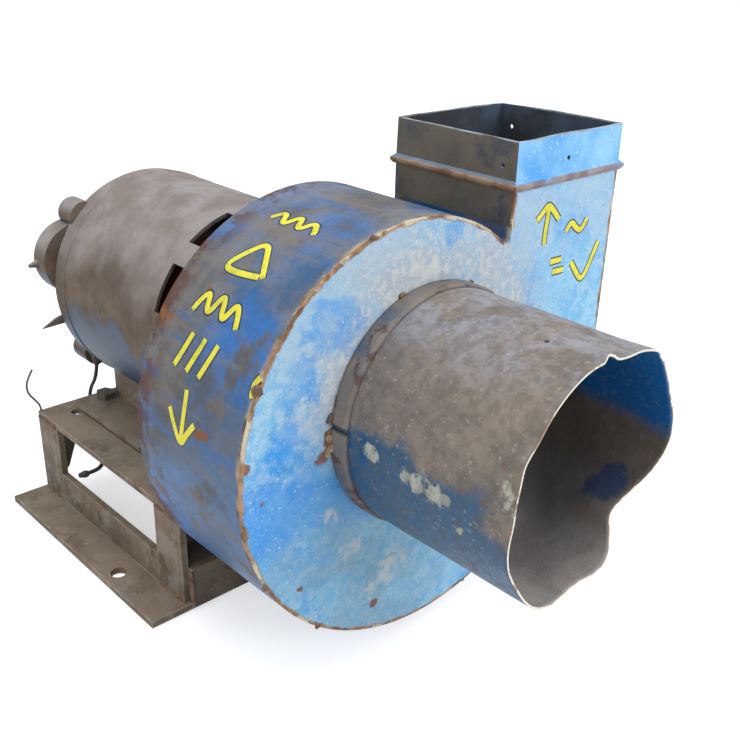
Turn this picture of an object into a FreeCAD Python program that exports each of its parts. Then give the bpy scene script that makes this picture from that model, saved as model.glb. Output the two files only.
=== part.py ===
import FreeCAD, Part
import Sketcher
import math
import os
from types import SimpleNamespace
from FreeCAD import Placement, Rotation, Vector

# Combustion fan: a sheet-steel centrifugal blower driven straight by a foot-mounted motor.
# The shaft lies along Y through the origin. The origin is where the shaft axis meets the
# outer face of the front (inlet) plate. The inlet points to -Y, the motor to +Y, the outlet up.

SIZES = {
    # casing
    "sheet_gauge": 1.5,
    "casing_width": 104,
    "scroll_start_radius": 112,
    "scroll_start_angle": 54,
    "scroll_growth": 0.2125,
    "scroll_drop": 4.5,
    "throat_left": 70,
    "throat_bend": 3,
    "throat_weld_height": 96,
    "seam_height": 121,
    "rim_height": 148.4,
    "bead_proud": 3,
    "bead_skirt": 3,
    "bead_land": 1.6,
    "bead_fade": 3.4,
    "slide_fit": 0.15,
    "gauge_hole_radius": 1.6,
    "front_hole_across": 121.2,
    "rim_hole_drop": 15.9,
    "side_hole_inset": 11.2,
    # inlet
    "inlet_radius": 75,
    "inlet_gauge": 1.2,
    "inlet_length": 131,
    "inlet_entry": 3,
    "inlet_neck": 0.6,
    "inlet_neck_lead": 1,
    "collar_length": 13.5,
    "collar_gauge": 2.4,
    "collar_joint_angle": 3,
    "collar_joint_at": 174,
    # impeller
    "wheel_radius": 96,
    "eye_radius": 76,
    "wheel_gauge": 1.5,
    "wheel_front_gap": 8.5,
    "wheel_back_gap": 14.5,
    "backplate_gauge": 2,
    "blade_count": 32,
    "blade_gauge": 1,
    "blade_sweep": 5.5,
    "hub_radius": 16,
    "hub_flange_radius": 30,
    "hub_flange_gauge": 3,
    "hub_front": 12,
    "hub_back": 8.5,
    "rivet_count": 6,
    "rivet_pitch_radius": 23,
    "rivet_radius": 2.4,
    "rivet_head": 1.4,
    # shaft and bearings
    "shaft_radius": 7.94,
    "journal_step": 0.56,
    "shaft_body_step": 4,
    "shaft_front_stub": 4,
    "bore_fit": 0.02,
    "key_width": 4.76,
    "key_length": 16,
    "set_screw_radius": 3,
    "bearing_radius": 20,
    "bearing_width": 12,
    "bearing_land": 3.4,
    "bearing_groove": 1.1,
    "ball_radius": 3.3,
    "ball_count": 8,
    # motor
    "shell_radius": 84.6,
    "shell_wall": 2.5,
    "shell_length": 188,
    "shell_rim_proud": 0.7,
    "drive_bell_length": 14,
    "bell_web": 10,
    "spigot_depth": 6,
    "spigot_wall": 4.05,
    "hub_housing_wall": 7,
    "shaft_hole_gap": 1.6,
    "window_count": 10,
    "window_width": 35,
    "window_length": 52,
    "window_start": 6,
    "window_turn": 25,
    "core_start": 72,
    "core_length": 90,
    "core_bore_radius": 45.3,
    "air_gap": 0.4,
    "slot_count": 24,
    "slot_width": 6,
    "slot_depth": 20,
    "slot_mouth": 2,
    "slot_liner": 0.3,
    "winding_overhang": 16,
    "winding_outer_radius": 72,
    "end_ring_length": 7,
    "end_ring_radius": 43,
    "end_ring_bore": 30,
    "fan_radius": 60,
    "fan_blade_count": 9,
    "fan_start": 14,
    "fan_length": 34,
    "fan_hub_radius": 20,
    "fan_disc": 2.5,
    "rear_bell_length": 35,
    "rear_bell_wall": 4,
    "ear_pitch_radius": 79,
    "ear_radius": 11.5,
    "ear_start": 8,
    "ear_length": 20,
    "bulge_radius": 29,
    "bulge_across": -61,
    "bulge_height": 21.5,
    "bulge_length": 18,
    "bulge_set_back": 4,
    "plug_base_radius": 5,
    "plug_tip_radius": 1.2,
    "plug_length": 13,
    "tab_gauge": 2,
    "dome_crown": 12,
    "dome_shoulder": 15,
    "dome_edge": 19,
    "dome_rim": 24,
    "vent_width": 24,
    "vent_tall": 9,
    "vent_radius": 52,
    "bolt_radius": 2,
    "bolt_gap": 0.1,
    "bolt_head": 3.5,
    "bolt_head_radius": 3.8,
    # bolts from the casing into the motor face
    "face_bolt_radius": 4.76,
    "face_bolt_circle": 66,
    "face_bolt_head": 6,
    "face_bolt_head_radius": 8.2,
    # foot of the motor
    "foot_half_width": 85,
    "foot_length": 100,
    "foot_start": 101,
    "foot_thickness": 3,
    "foot_gap": 4.9,
    "washer_thickness": 2.5,
    "washer_radius": 9,
    "saddle_half_width": 52,
    "saddle_wall": 3,
    "foot_bolt_radius": 4,
    "foot_bolt_gap": 0.4,
    "foot_bolt_across": 62,
    "foot_bolt_first": 15.8,
    "foot_bolt_pitch": 76.2,
    "foot_bolt_head": 5.3,
    "foot_bolt_head_radius": 7.5,
    "foot_bolt_tail": 3,
    "foot_nut_height": 6.5,
    # base
    "table_half_width": 110,
    "table_start": 6,
    "table_overhang": 13,
    "table_thickness": 4.5,
    "wire_hole_radius": 5,
    "wire_hole_across": -87,
    "wire_hole_back": 21,
    "floor_clearance": 7.6,
    "angle_leg": 33,
    "angle_wall": 5,
    "rail_tall": 30,
    "rail_overhang": 3,
    "leg_width": 32,
    "leg_flange": 32,
    "leg_setback": 4,
    "anchor_radius": 6,
    "anchor_back": 64.7,
    "anchor_in": 11.4,
    "cross_wall": 4,
    "cross_tall": 32,
    "cross_flange": 26,
    # leads
    "lead_radius": 1.5,
    "strand_radius": 0.85,
    "tape_radius": 2.7,
    "boot_radius": 5.5,
    "boot_length": 14,
}

doc = FreeCAD.newDocument("combustion_fan")
sheet = doc.addObject("Spreadsheet::Sheet", "sizes")
for row, (alias, number) in enumerate(SIZES.items(), 1):
    sheet.set(f"A{row}", alias)
    sheet.set(f"B{row}", str(number))
    sheet.setAlias(f"B{row}", alias)
doc.recompute()


class Size:
    """A length that carries its formula over the sheet together with its present value."""

    def __init__(self, formula, value):
        self.formula = formula
        self.value = float(value)

    def __add__(self, other):
        other = as_size(other)
        return Size(f"({self.formula} + {other.formula})", self.value + other.value)

    def __sub__(self, other):
        other = as_size(other)
        return Size(f"({self.formula} - {other.formula})", self.value - other.value)

    def __mul__(self, other):
        other = as_size(other)
        return Size(f"({self.formula} * {other.formula})", self.value * other.value)

    def __truediv__(self, other):
        other = as_size(other)
        return Size(f"({self.formula} / {other.formula})", self.value / other.value)

    def __neg__(self):
        return Size(f"(0 - {self.formula})", -self.value)

    __radd__ = __add__

    def __rsub__(self, other):
        return as_size(other) - self

    def __float__(self):
        return self.value


def as_size(number):
    return number if isinstance(number, Size) else Size(repr(float(number)), number)


S = SimpleNamespace(**{name: Size(f"sizes.{name}", sheet.get(name)) for name in SIZES})
parts = {}


# Helpers for bodies, sketches and features

def bind(thing, path, size):
    """Tie one property to its formula in the sheet."""
    thing.setExpression(path, as_size(size).formula)


def new_body(name):
    return doc.addObject("PartDesign::Body", name + "_body")


def new_sketch(body, role, station):
    sketch = body.newObject("Sketcher::SketchObject", "outline")
    plane = next(item for item in body.Origin.OriginFeatures if item.Role == role)
    sketch.AttachmentSupport = (plane, "")
    sketch.MapMode = "FlatFace"
    bind(sketch, "AttachmentOffset.Base.z", station)
    return sketch


def tie_point(sketch, geometry, point, across, up):
    """Hold one point of a sketch at two coordinates from the sheet."""
    for kind, size in (("DistanceX", across), ("DistanceY", up)):
        place = as_size(size)
        index = sketch.addConstraint(Sketcher.Constraint(kind, -1, 1, geometry, point, place.value))
        if "sizes." in place.formula:
            sketch.setExpression(f"Constraints[{index}]", place.formula)


def draw_ring(sketch, radius, across=0, up=0):
    centre = Vector(float(across), float(up), 0)
    geometry = sketch.addGeometry(Part.Circle(centre, Vector(0, 0, 1), float(radius)), False)
    tie_point(sketch, geometry, 3, across, up)
    index = sketch.addConstraint(Sketcher.Constraint("Radius", geometry, float(radius)))
    bind(sketch, f"Constraints[{index}]", radius)


def draw_outline(sketch, corners):
    first = sketch.GeometryCount
    spots = [Vector(float(across), float(up), 0) for across, up in corners]
    count = len(spots)
    for i in range(count):
        sketch.addGeometry(Part.LineSegment(spots[i], spots[(i + 1) % count]), False)
    for i in range(count):
        following = first + (i + 1) % count
        sketch.addConstraint(Sketcher.Constraint("Coincident", first + i, 2, following, 1))
    for i, (across, up) in enumerate(corners):
        tie_point(sketch, first + i, 1, across, up)


def draw(sketch, loops):
    """Draw loops into a sketch: a list of corners is an outline, anything else a ring."""
    for loop in loops:
        if isinstance(loop, list):
            draw_outline(sketch, loop)
        else:
            draw_ring(sketch, *loop)


def block(left, right, low, high):
    return [(left, low), (right, low), (right, high), (left, high)]


def extrude(body, role, start, length, loops, cut=False):
    """Add or cut a prism that begins at a station and runs along the positive axis."""
    against = role == "XZ_Plane"
    sketch = new_sketch(body, role, -as_size(start) if against else start)
    draw(sketch, loops)
    doc.recompute()
    before = body.Shape.Volume if cut else 0
    feature = body.newObject("PartDesign::Pocket" if cut else "PartDesign::Pad", "prism")
    feature.Profile = sketch
    bind(feature, "Length", length)
    feature.Reversed = against != cut
    doc.recompute()
    if cut and body.Shape.Volume > before - 1e-6:
        raise RuntimeError(f"a pocket in {body.Name} cuts nothing")
    return feature


def revolve(body, corners, angle=360):
    """Turn a profile of (radius, station) corners round the shaft axis."""
    sketch = new_sketch(body, "XY_Plane", 0)
    draw_outline(sketch, corners)
    feature = body.newObject("PartDesign::Revolution", "turning")
    feature.Profile = sketch
    feature.ReferenceAxis = (sketch, ["V_Axis"])
    bind(feature, "Angle", angle)
    doc.recompute()
    return feature


def repeat_round(body, feature, count):
    """Repeat a feature round the shaft axis."""
    pattern = body.newObject("PartDesign::PolarPattern", "ring_of")
    pattern.Originals = [feature]
    axis = next(item for item in body.Origin.OriginFeatures if item.Role == "Y_Axis")
    pattern.Axis = (axis, [""])
    pattern.Angle = 360
    bind(pattern, "Occurrences", count)
    body.Tip = pattern
    doc.recompute()


def turn_about_shaft(angle):
    """A placement that turns a piece from +X towards +Z round the shaft axis."""
    return Placement(Vector(0, 0, 0), Rotation(Vector(0, 1, 0), -float(angle)))


def name_part(thing, name):
    thing.Label = name
    parts[name] = thing
    return thing


def free_part(name, shape):
    """A piece whose outline is a formula and so has no sketch."""
    feature = doc.addObject("Part::Feature", name + "_form")
    feature.Shape = shape
    feature.Placement = Placement()
    return name_part(feature, name)


def trimmed(name, base, tools):
    """A piece cut where other solids stand."""
    cut = doc.addObject("Part::Cut", name + "_cut")
    cut.Base = base
    if len(tools) == 1:
        cut.Tool = tools[0]
    else:
        joined = doc.addObject("Part::MultiFuse", name + "_tools")
        joined.Shapes = tools
        cut.Tool = joined
    doc.recompute()
    return name_part(cut, name)


def rod(name, radius, length, base, direction):
    """A plain cylinder from a point along a direction, used as a pin or as a drill."""
    cylinder = doc.addObject("Part::Cylinder", name)
    bind(cylinder, "Radius", radius)
    bind(cylinder, "Height", length)
    cylinder.Placement = Placement(base, Rotation(Vector(0, 0, 1), direction))
    return cylinder


def copies(name, unit, placements):
    """Several copies of one solid in one node."""
    shapes = []
    for placement in placements:
        shape = unit.Shape.copy()
        shape.Placement = placement.multiply(shape.Placement)
        shapes.append(shape)
    return free_part(name, Part.makeCompound(shapes))


def around(count, first=0.0):
    return [turn_about_shaft(first + 360.0 * i / count) for i in range(count)]


def hexagon(radius):
    """Corners of a hexagon whose corner radius comes from the sheet."""
    points = []
    for i in range(6):
        angle = math.radians(60 * i)
        points.append((radius * round(math.cos(angle), 6), radius * round(math.sin(angle), 6)))
    return points


# Stations along the shaft, all measured from the front plate

gauge = S.sheet_gauge
back_face = S.casing_width
wheel_front = gauge + S.wheel_front_gap
wheel_back = back_face - gauge - S.wheel_back_gap
shell_start = back_face + S.drive_bell_length
shell_end = shell_start + S.shell_length
core_start = shell_start + S.core_start
core_end = core_start + S.core_length
front_bearing = back_face + S.bell_web - S.bearing_land
rear_bell_end = shell_end + S.rear_bell_length
rear_bearing = shell_end + S.rear_bell_length - S.bearing_width - S.hub_housing_wall - 2

# Heights

foot_top = -(S.shell_radius + S.foot_gap)
foot_under = foot_top - S.foot_thickness
table_top = foot_under - S.washer_thickness
table_under = table_top - S.table_thickness
table_length = S.drive_bell_length + S.shell_length + S.table_overhang - S.table_start
scroll_turned = S.scroll_growth * (270 - S.scroll_start_angle)
floor = -(S.scroll_start_radius + scroll_turned + S.scroll_drop + S.floor_clearance)
shell_bore = S.shell_radius - S.shell_wall
journal = S.shaft_radius + S.journal_step
shaft_body = journal + S.shaft_body_step
housing_bore = S.bearing_radius + S.bore_fit
housing_radius = S.bearing_radius + S.hub_housing_wall


# Casing

def scroll_radius(angle, inset):
    turned = S.scroll_growth.value * (angle - S.scroll_start_angle.value)
    return S.scroll_start_radius.value + turned - inset


def scroll_point(angle, inset):
    """A point of the spiral, whose centre lies a little below the shaft."""
    radius = scroll_radius(angle, inset)
    at = math.radians(angle)
    return Vector(radius * math.cos(at), 0, radius * math.sin(at) - S.scroll_drop.value)


outlet_right = scroll_radius(360, 0)


def scroll_face(inset, top):
    """The casing seen from the inlet: spiral, straight right wall, throat with a small bend."""
    left = S.throat_left.value + inset
    right = outlet_right - inset
    bend = S.throat_bend.value + inset
    spiral_end = 315.0
    arcs = 6
    step = (spiral_end - S.scroll_start_angle.value) / arcs
    start = S.scroll_start_angle.value
    near = [scroll_point(start + step * part, inset) for part in (0, 0.5, 1)]
    circle = Part.Arc(*near).toShape().Curve
    lift = math.sqrt((circle.Radius + bend) ** 2 - (left - bend - circle.Center.x) ** 2)
    bend_centre = Vector(left - bend, 0, circle.Center.z + lift)
    wall_foot = Vector(left, 0, bend_centre.z)
    towards = (bend_centre - circle.Center).normalize()
    spiral_start = circle.Center + towards * circle.Radius
    middle = bend_centre + ((wall_foot + spiral_start) * 0.5 - bend_centre).normalize() * bend
    low_corner = Vector(right, 0, -S.scroll_drop.value)
    edges = [
        Part.LineSegment(Vector(left, 0, top), wall_foot),
        Part.Arc(wall_foot, middle, spiral_start),
        Part.Arc(spiral_start, near[1], near[2]),
    ]
    for part in range(1, arcs):
        angles = (start + step * part, start + step * (part + 0.5), start + step * (part + 1))
        edges.append(Part.Arc(*[scroll_point(angle, inset) for angle in angles]))
    last = scroll_point(spiral_end, inset)
    span = right - last.x
    rise = low_corner.z - last.z
    radius = (span * span + rise * rise) / (2 * span)
    centre = Vector(right - radius, 0, low_corner.z)
    belly = centre + ((last + low_corner) * 0.5 - centre).normalize() * radius
    edges.append(Part.Arc(last, belly, low_corner))
    edges.append(Part.LineSegment(low_corner, Vector(right, 0, top)))
    edges.append(Part.LineSegment(Vector(right, 0, top), Vector(left, 0, top)))
    return Part.Face(Part.Wire([edge.toShape() for edge in edges]))


def slab(face, start, length):
    solid = face.extrude(Vector(0, float(length), 0))
    solid.translate(Vector(0, float(start), 0))
    return solid


def drill_y(radius, start, length, across=0.0, up=0.0):
    base = Vector(float(across), float(start), float(up))
    return Part.makeCylinder(float(radius), float(length), base, Vector(0, 1, 0))


def build_casing():
    strip_length = back_face - gauge * 2
    outside = slab(scroll_face(0, S.seam_height.value), gauge, strip_length)
    above = S.seam_height.value + 5
    hollow = slab(scroll_face(gauge.value, above), gauge, strip_length)
    strip = outside.cut(hollow)
    half = (outlet_right + S.throat_left.value) / 2
    throat_box = Part.makeBox(
        half, float(back_face), above, Vector(0, 0, S.throat_weld_height.value))
    free_part("outlet_throat_plate", strip.common(throat_box))
    free_part("scroll_wrapper", strip.cut(throat_box))

    front = slab(scroll_face(0, S.seam_height.value), 0, gauge)
    inlet_hole = S.inlet_radius - S.inlet_neck + S.slide_fit
    front = front.cut(drill_y(inlet_hole, -1, gauge + 2))
    free_part("front_side_plate", front)

    back = slab(scroll_face(0, S.seam_height.value), back_face - gauge, gauge)
    back = back.cut(drill_y(S.hub_radius + 4, back_face - 5, 8))
    for i in range(4):
        at = math.radians(45 + 90 * i)
        across = S.face_bolt_circle.value * math.cos(at)
        up = S.face_bolt_circle.value * math.sin(at)
        hole_radius = S.face_bolt_radius + S.foot_bolt_gap
        back = back.cut(drill_y(hole_radius, back_face - 5, 8, across, up))
    free_part("back_side_plate", back)


def build_outlet_spigot():
    """The rectangular sleeve on the outlet, with a swaged bead that laps over the casing."""
    body = new_body("outlet_spigot")
    seam = S.seam_height
    right = S.scroll_start_radius + S.scroll_growth * (360 - S.scroll_start_angle)

    def rectangle(out):
        corners = block(S.throat_left - out, right + out, -as_size(out), S.casing_width + out)
        return corners

    extrude(body, "XY_Plane", seam, S.rim_height - seam, [rectangle(as_size(0))])
    rings = [
        (seam - S.bead_skirt, S.bead_proud * 0.45),
        (seam - S.bead_land * 0.5, S.bead_proud),
        (seam + S.bead_land * 0.5, S.bead_proud),
        (seam + S.bead_fade, as_size(0.02)),
    ]
    sections = []
    for height, out in rings:
        sketch = new_sketch(body, "XY_Plane", height)
        draw_outline(sketch, rectangle(out))
        sections.append(sketch)
    bead = body.newObject("PartDesign::AdditiveLoft", "bead")
    bead.Profile = sections[0]
    bead.Sections = sections[1:]
    bead.Ruled = True
    doc.recompute()
    tall = S.rim_height - seam + S.bead_skirt + 2
    extrude(body, "XY_Plane", seam - S.bead_skirt - 1, tall + 1, [rectangle(-gauge)], cut=True)
    lap = S.bead_skirt + 1
    extrude(body, "XY_Plane", seam - lap, lap, [rectangle(S.slide_fit)], cut=True)
    hole_height = S.rim_height - S.rim_hole_drop
    extrude(body, "XZ_Plane", -1, gauge + 2,
            [(S.gauge_hole_radius, S.front_hole_across, hole_height)], cut=True)
    extrude(body, "YZ_Plane", right - gauge - 1, gauge + 2,
            [(S.gauge_hole_radius, S.casing_width - S.side_hole_inset, hole_height)], cut=True)
    extrude(body, "YZ_Plane", S.throat_left - 1, gauge + 2,
            [(S.gauge_hole_radius, S.side_hole_inset, hole_height)], cut=True)
    name_part(body, "outlet_spigot")


def build_inlet():
    tube = new_body("inlet_tube")
    bore = S.inlet_radius - S.inlet_gauge
    front = -S.inlet_length
    neck = S.inlet_radius - S.inlet_neck
    neck_start = -(S.collar_length + S.inlet_neck_lead)
    neck_bore = neck - S.inlet_gauge
    revolve(tube, [
        (bore, front), (S.inlet_radius, front), (S.inlet_radius, neck_start),
        (neck, neck_start), (neck, S.inlet_entry), (neck_bore, S.inlet_entry),
        (neck_bore, -S.collar_length), (bore, -S.collar_length),
    ])
    name_part(tube, "inlet_tube")

    collar = new_body("inlet_collar")
    inner = neck + S.slide_fit
    thick = S.collar_gauge
    profile = [
        (inner, -S.collar_length),
        (inner + thick * 0.5, -S.collar_length),
        (inner + thick, -S.collar_length * 0.8),
        (inner + thick, -S.collar_length * 0.2),
        (inner + thick * 0.6, 0),
        (inner, 0),
    ]
    revolve(collar, profile, 360 - S.collar_joint_angle)
    collar.Placement = turn_about_shaft(S.collar_joint_at.value - S.collar_joint_angle.value / 2)
    name_part(collar, "inlet_collar")


# Impeller

def blade_section():
    """One forward-curved blade, seen along the shaft, leaning into the turning direction."""
    inner = S.eye_radius.value + 0.5
    outer = S.wheel_radius.value - 0.5
    middle = (inner + outer) / 2
    sweep = S.blade_sweep.value
    spots = ((inner, 0), (middle, sweep * 0.12), (outer, sweep))

    def arc(turn):
        points = []
        for radius, angle in spots:
            at = math.radians(angle + turn)
            points.append(Vector(radius * math.cos(at), 0, radius * math.sin(at)))
        return Part.Arc(*points), points

    thick = math.degrees(S.blade_gauge.value / middle)
    near, near_points = arc(0)
    far, far_points = arc(thick)
    edges = [
        near.toShape(),
        Part.LineSegment(near_points[2], far_points[2]).toShape(),
        far.toShape(),
        Part.LineSegment(far_points[0], near_points[0]).toShape(),
    ]
    return Part.Face(Part.Wire(Part.sortEdges(edges)[0]))


def build_impeller():
    ring = new_body("impeller_shroud")
    revolve(ring, block(S.eye_radius, S.wheel_radius, wheel_front, wheel_front + S.wheel_gauge))
    name_part(ring, "impeller_shroud")

    plate_front = wheel_back - S.backplate_gauge
    plate = new_body("impeller_backplate")
    bore = S.hub_radius + S.bore_fit
    revolve(plate, block(bore, S.wheel_radius, plate_front, wheel_back))
    holes = extrude(plate, "XZ_Plane", plate_front - 1, S.backplate_gauge + 2,
                    [(S.rivet_radius, S.rivet_pitch_radius, 0)], cut=True)
    repeat_round(plate, holes, S.rivet_count)
    name_part(plate, "impeller_backplate")

    start = wheel_front + S.wheel_gauge
    blade = slab(blade_section(), start, plate_front - start)
    blades = []
    for placement in around(int(S.blade_count.value)):
        one = blade.copy()
        one.Placement = placement.multiply(one.Placement)
        blades.append(one)
    free_part("impeller_blades", Part.makeCompound(blades))

    hub = new_body("impeller_hub")
    shaft_bore = S.shaft_radius + S.bore_fit
    flange_end = wheel_back + S.hub_flange_gauge
    revolve(hub, [
        (shaft_bore, plate_front - S.hub_front),
        (S.hub_radius, plate_front - S.hub_front),
        (S.hub_radius, wheel_back),
        (S.hub_flange_radius, wheel_back),
        (S.hub_flange_radius, flange_end),
        (S.hub_radius, flange_end),
        (S.hub_radius, flange_end + S.hub_back),
        (shaft_bore, flange_end + S.hub_back),
    ])
    rivet_holes = extrude(hub, "XZ_Plane", wheel_back - 1, S.hub_flange_gauge + 2,
                          [(S.rivet_radius, S.rivet_pitch_radius, 0)], cut=True)
    repeat_round(hub, rivet_holes, S.rivet_count)
    hub_length = flange_end + S.hub_back - plate_front + S.hub_front
    half_key = S.key_width / 2
    key_top = S.shaft_radius + half_key
    slot = block(-half_key, half_key, S.shaft_radius * 0.6, key_top + S.bore_fit)
    extrude(hub, "XZ_Plane", plate_front - S.hub_front, hub_length, [slot], cut=True)
    screw_station = flange_end + S.hub_back / 2
    extrude(hub, "XY_Plane", S.shaft_radius - 1, S.hub_radius,
            [(S.set_screw_radius, 0, screw_station)], cut=True)
    name_part(hub, "impeller_hub")

    rivet = new_body("hub_rivet")
    neck = wheel_back - S.backplate_gauge
    revolve(rivet, [
        (0, neck - S.rivet_head),
        (S.rivet_radius * 1.2, neck - S.rivet_head),
        (S.rivet_radius * 1.7, neck),
        (S.rivet_radius, neck),
        (S.rivet_radius, flange_end),
        (S.rivet_radius * 1.7, flange_end),
        (S.rivet_radius * 1.2, flange_end + S.rivet_head),
        (0, flange_end + S.rivet_head),
    ])
    rivet.Placement = Placement(Vector(S.rivet_pitch_radius.value, 0, 0), Rotation())
    doc.recompute()
    copies("hub_rivets", rivet, around(int(S.rivet_count.value)))

    screw = new_body("hub_set_screw")
    screw_length = S.hub_radius - key_top - S.bore_fit
    extrude(screw, "XY_Plane", key_top + S.bore_fit, screw_length,
            [(S.set_screw_radius - S.bore_fit, 0, screw_station)])
    extrude(screw, "XY_Plane", S.hub_radius - 2.5, 3,
            [[(x, y + screw_station) for x, y in hexagon(S.set_screw_radius * 0.5)]], cut=True)
    name_part(screw, "hub_set_screw")

    key = new_body("shaft_key")
    start = screw_station - S.key_length / 2
    extrude(key, "XZ_Plane", start, S.key_length,
            [block(-half_key, half_key, S.shaft_radius - half_key, key_top)])
    name_part(key, "shaft_key")


# Shaft, rotor and bearings

def build_rotor():
    tip = wheel_back - S.backplate_gauge - S.hub_front - S.shaft_front_stub
    shoulder = back_face + S.bell_web - S.bearing_land
    shaft = new_body("motor_shaft")
    end = rear_bearing + S.bearing_width + 0.6
    revolve(shaft, [
        (0, tip),
        (S.shaft_radius - 1, tip),
        (S.shaft_radius, tip + 1),
        (S.shaft_radius, shoulder - 2),
        (journal, shoulder - 2),
        (journal, front_bearing + S.bearing_width),
        (shaft_body, front_bearing + S.bearing_width),
        (shaft_body, rear_bearing),
        (journal, rear_bearing),
        (journal, end),
        (0, end),
    ])
    flange_end = wheel_back + S.hub_flange_gauge
    key_start = flange_end + S.hub_back / 2 - S.key_length / 2
    half_key = S.key_width / 2
    extrude(shaft, "XZ_Plane", key_start, S.key_length,
            [block(-half_key, half_key, S.shaft_radius - half_key, S.shaft_radius + 2)], cut=True)
    name_part(shaft, "motor_shaft")

    core = new_body("rotor_core")
    revolve(core, block(shaft_body, S.core_bore_radius - S.air_gap, core_start, core_end))
    name_part(core, "rotor_core")

    ring = new_body("rotor_end_ring")
    revolve(ring, block(S.end_ring_bore, S.end_ring_radius, 0, S.end_ring_length))
    stations = (core_start - S.end_ring_length, core_end)
    copies("rotor_end_rings", ring,
           [Placement(Vector(0, station.value, 0), Rotation()) for station in stations])

    fan = new_body("cooling_fan")
    fan_start = shell_start + S.fan_start
    disc_end = fan_start + S.fan_disc
    revolve(fan, [
        (shaft_body, fan_start),
        (S.fan_radius, fan_start),
        (S.fan_radius, disc_end),
        (S.fan_hub_radius, disc_end),
        (S.fan_hub_radius, fan_start + S.fan_length),
        (shaft_body, fan_start + S.fan_length),
    ])
    vane = extrude(fan, "XZ_Plane", disc_end, S.fan_length - S.fan_disc,
                   [block(S.fan_hub_radius - 1, S.fan_radius - 1, -1, 1)])
    repeat_round(fan, vane, S.fan_blade_count)
    name_part(fan, "cooling_fan")


def build_bearing(place, start):
    """A deep-groove ball bearing: outer ring, inner ring and a ring of balls."""
    width = S.bearing_width
    middle = start + width / 2
    pitch = (S.bearing_radius + journal) / 2
    land = S.ball_radius - S.bearing_groove + 0.15
    reach = S.ball_radius + 0.15
    wide = S.ball_radius - 0.4
    narrow = S.ball_radius * 0.37

    outer = new_body("bearing_outer_ring")
    revolve(outer, [
        (S.bearing_radius, start),
        (S.bearing_radius, start + width),
        (pitch + land, start + width),
        (pitch + land, middle + wide),
        (pitch + reach, middle + narrow),
        (pitch + reach, middle - narrow),
        (pitch + land, middle - wide),
        (pitch + land, start),
    ])
    name_part(outer, f"{place}_bearing_outer_ring")

    inner = new_body("bearing_inner_ring")
    revolve(inner, [
        (journal, start),
        (pitch - land, start),
        (pitch - land, middle - wide),
        (pitch - reach, middle - narrow),
        (pitch - reach, middle + narrow),
        (pitch - land, middle + wide),
        (pitch - land, start + width),
        (journal, start + width),
    ])
    name_part(inner, f"{place}_bearing_inner_ring")

    ball = Part.makeSphere(S.ball_radius.value, Vector(pitch.value, middle.value, 0))
    balls = []
    for placement in around(int(S.ball_count.value)):
        one = ball.copy()
        one.Placement = placement.multiply(one.Placement)
        balls.append(one)
    free_part(f"{place}_bearing_balls", Part.makeCompound(balls))


# Motor housing and stator

def build_shell():
    shell = new_body("motor_shell")
    rim = S.shell_radius + S.shell_rim_proud
    revolve(shell, [
        (shell_bore, shell_start),
        (S.shell_radius, shell_start),
        (S.shell_radius, shell_end - 5.5),
        (rim, shell_end - 4.5),
        (rim, shell_end - 1.5),
        (S.shell_radius - 0.4, shell_end),
        (shell_bore, shell_end),
    ])
    start = shell_start + S.window_start
    half = S.window_width / 2
    window = extrude(shell, "XY_Plane", shell_bore * 0.85, S.shell_radius * 0.3,
                     [block(-half, half, start, start + S.window_length)], cut=True)
    repeat_round(shell, window, S.window_count)
    shell.Placement = turn_about_shaft(S.window_turn)
    return name_part(shell, "motor_shell")


def build_drive_bell():
    bell = new_body("drive_end_bell")
    web_end = back_face + S.bell_web
    lip = shell_bore - S.bore_fit * 2
    lip_inner = lip - S.spigot_wall
    seat = front_bearing - S.bore_fit
    hub_end = front_bearing + S.bearing_width + 2
    hole = journal + S.shaft_hole_gap
    revolve(bell, [
        (hole, back_face),
        (S.shell_radius, back_face),
        (S.shell_radius, shell_start),
        (lip, shell_start),
        (lip, shell_start + S.spigot_depth),
        (lip_inner, shell_start + S.spigot_depth),
        (lip_inner, web_end),
        (housing_radius, web_end),
        (housing_radius, hub_end),
        (housing_bore, hub_end),
        (housing_bore, seat),
        (hole, seat),
    ])
    pitch = S.ear_pitch_radius * round(math.sqrt(0.5), 6)
    tapped = extrude(bell, "XZ_Plane", back_face + 2, S.drive_bell_length + S.spigot_depth,
                     [(S.bolt_radius + S.bolt_gap, pitch, pitch)], cut=True)
    repeat_round(bell, tapped, 4)
    bolt_pitch = S.face_bolt_circle * round(math.sqrt(0.5), 6)
    face = extrude(bell, "XZ_Plane", back_face - 1, S.bell_web + 2,
                   [(S.face_bolt_radius + S.bolt_gap, bolt_pitch, bolt_pitch)], cut=True)
    repeat_round(bell, face, 4)
    name_part(bell, "drive_end_bell")


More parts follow.
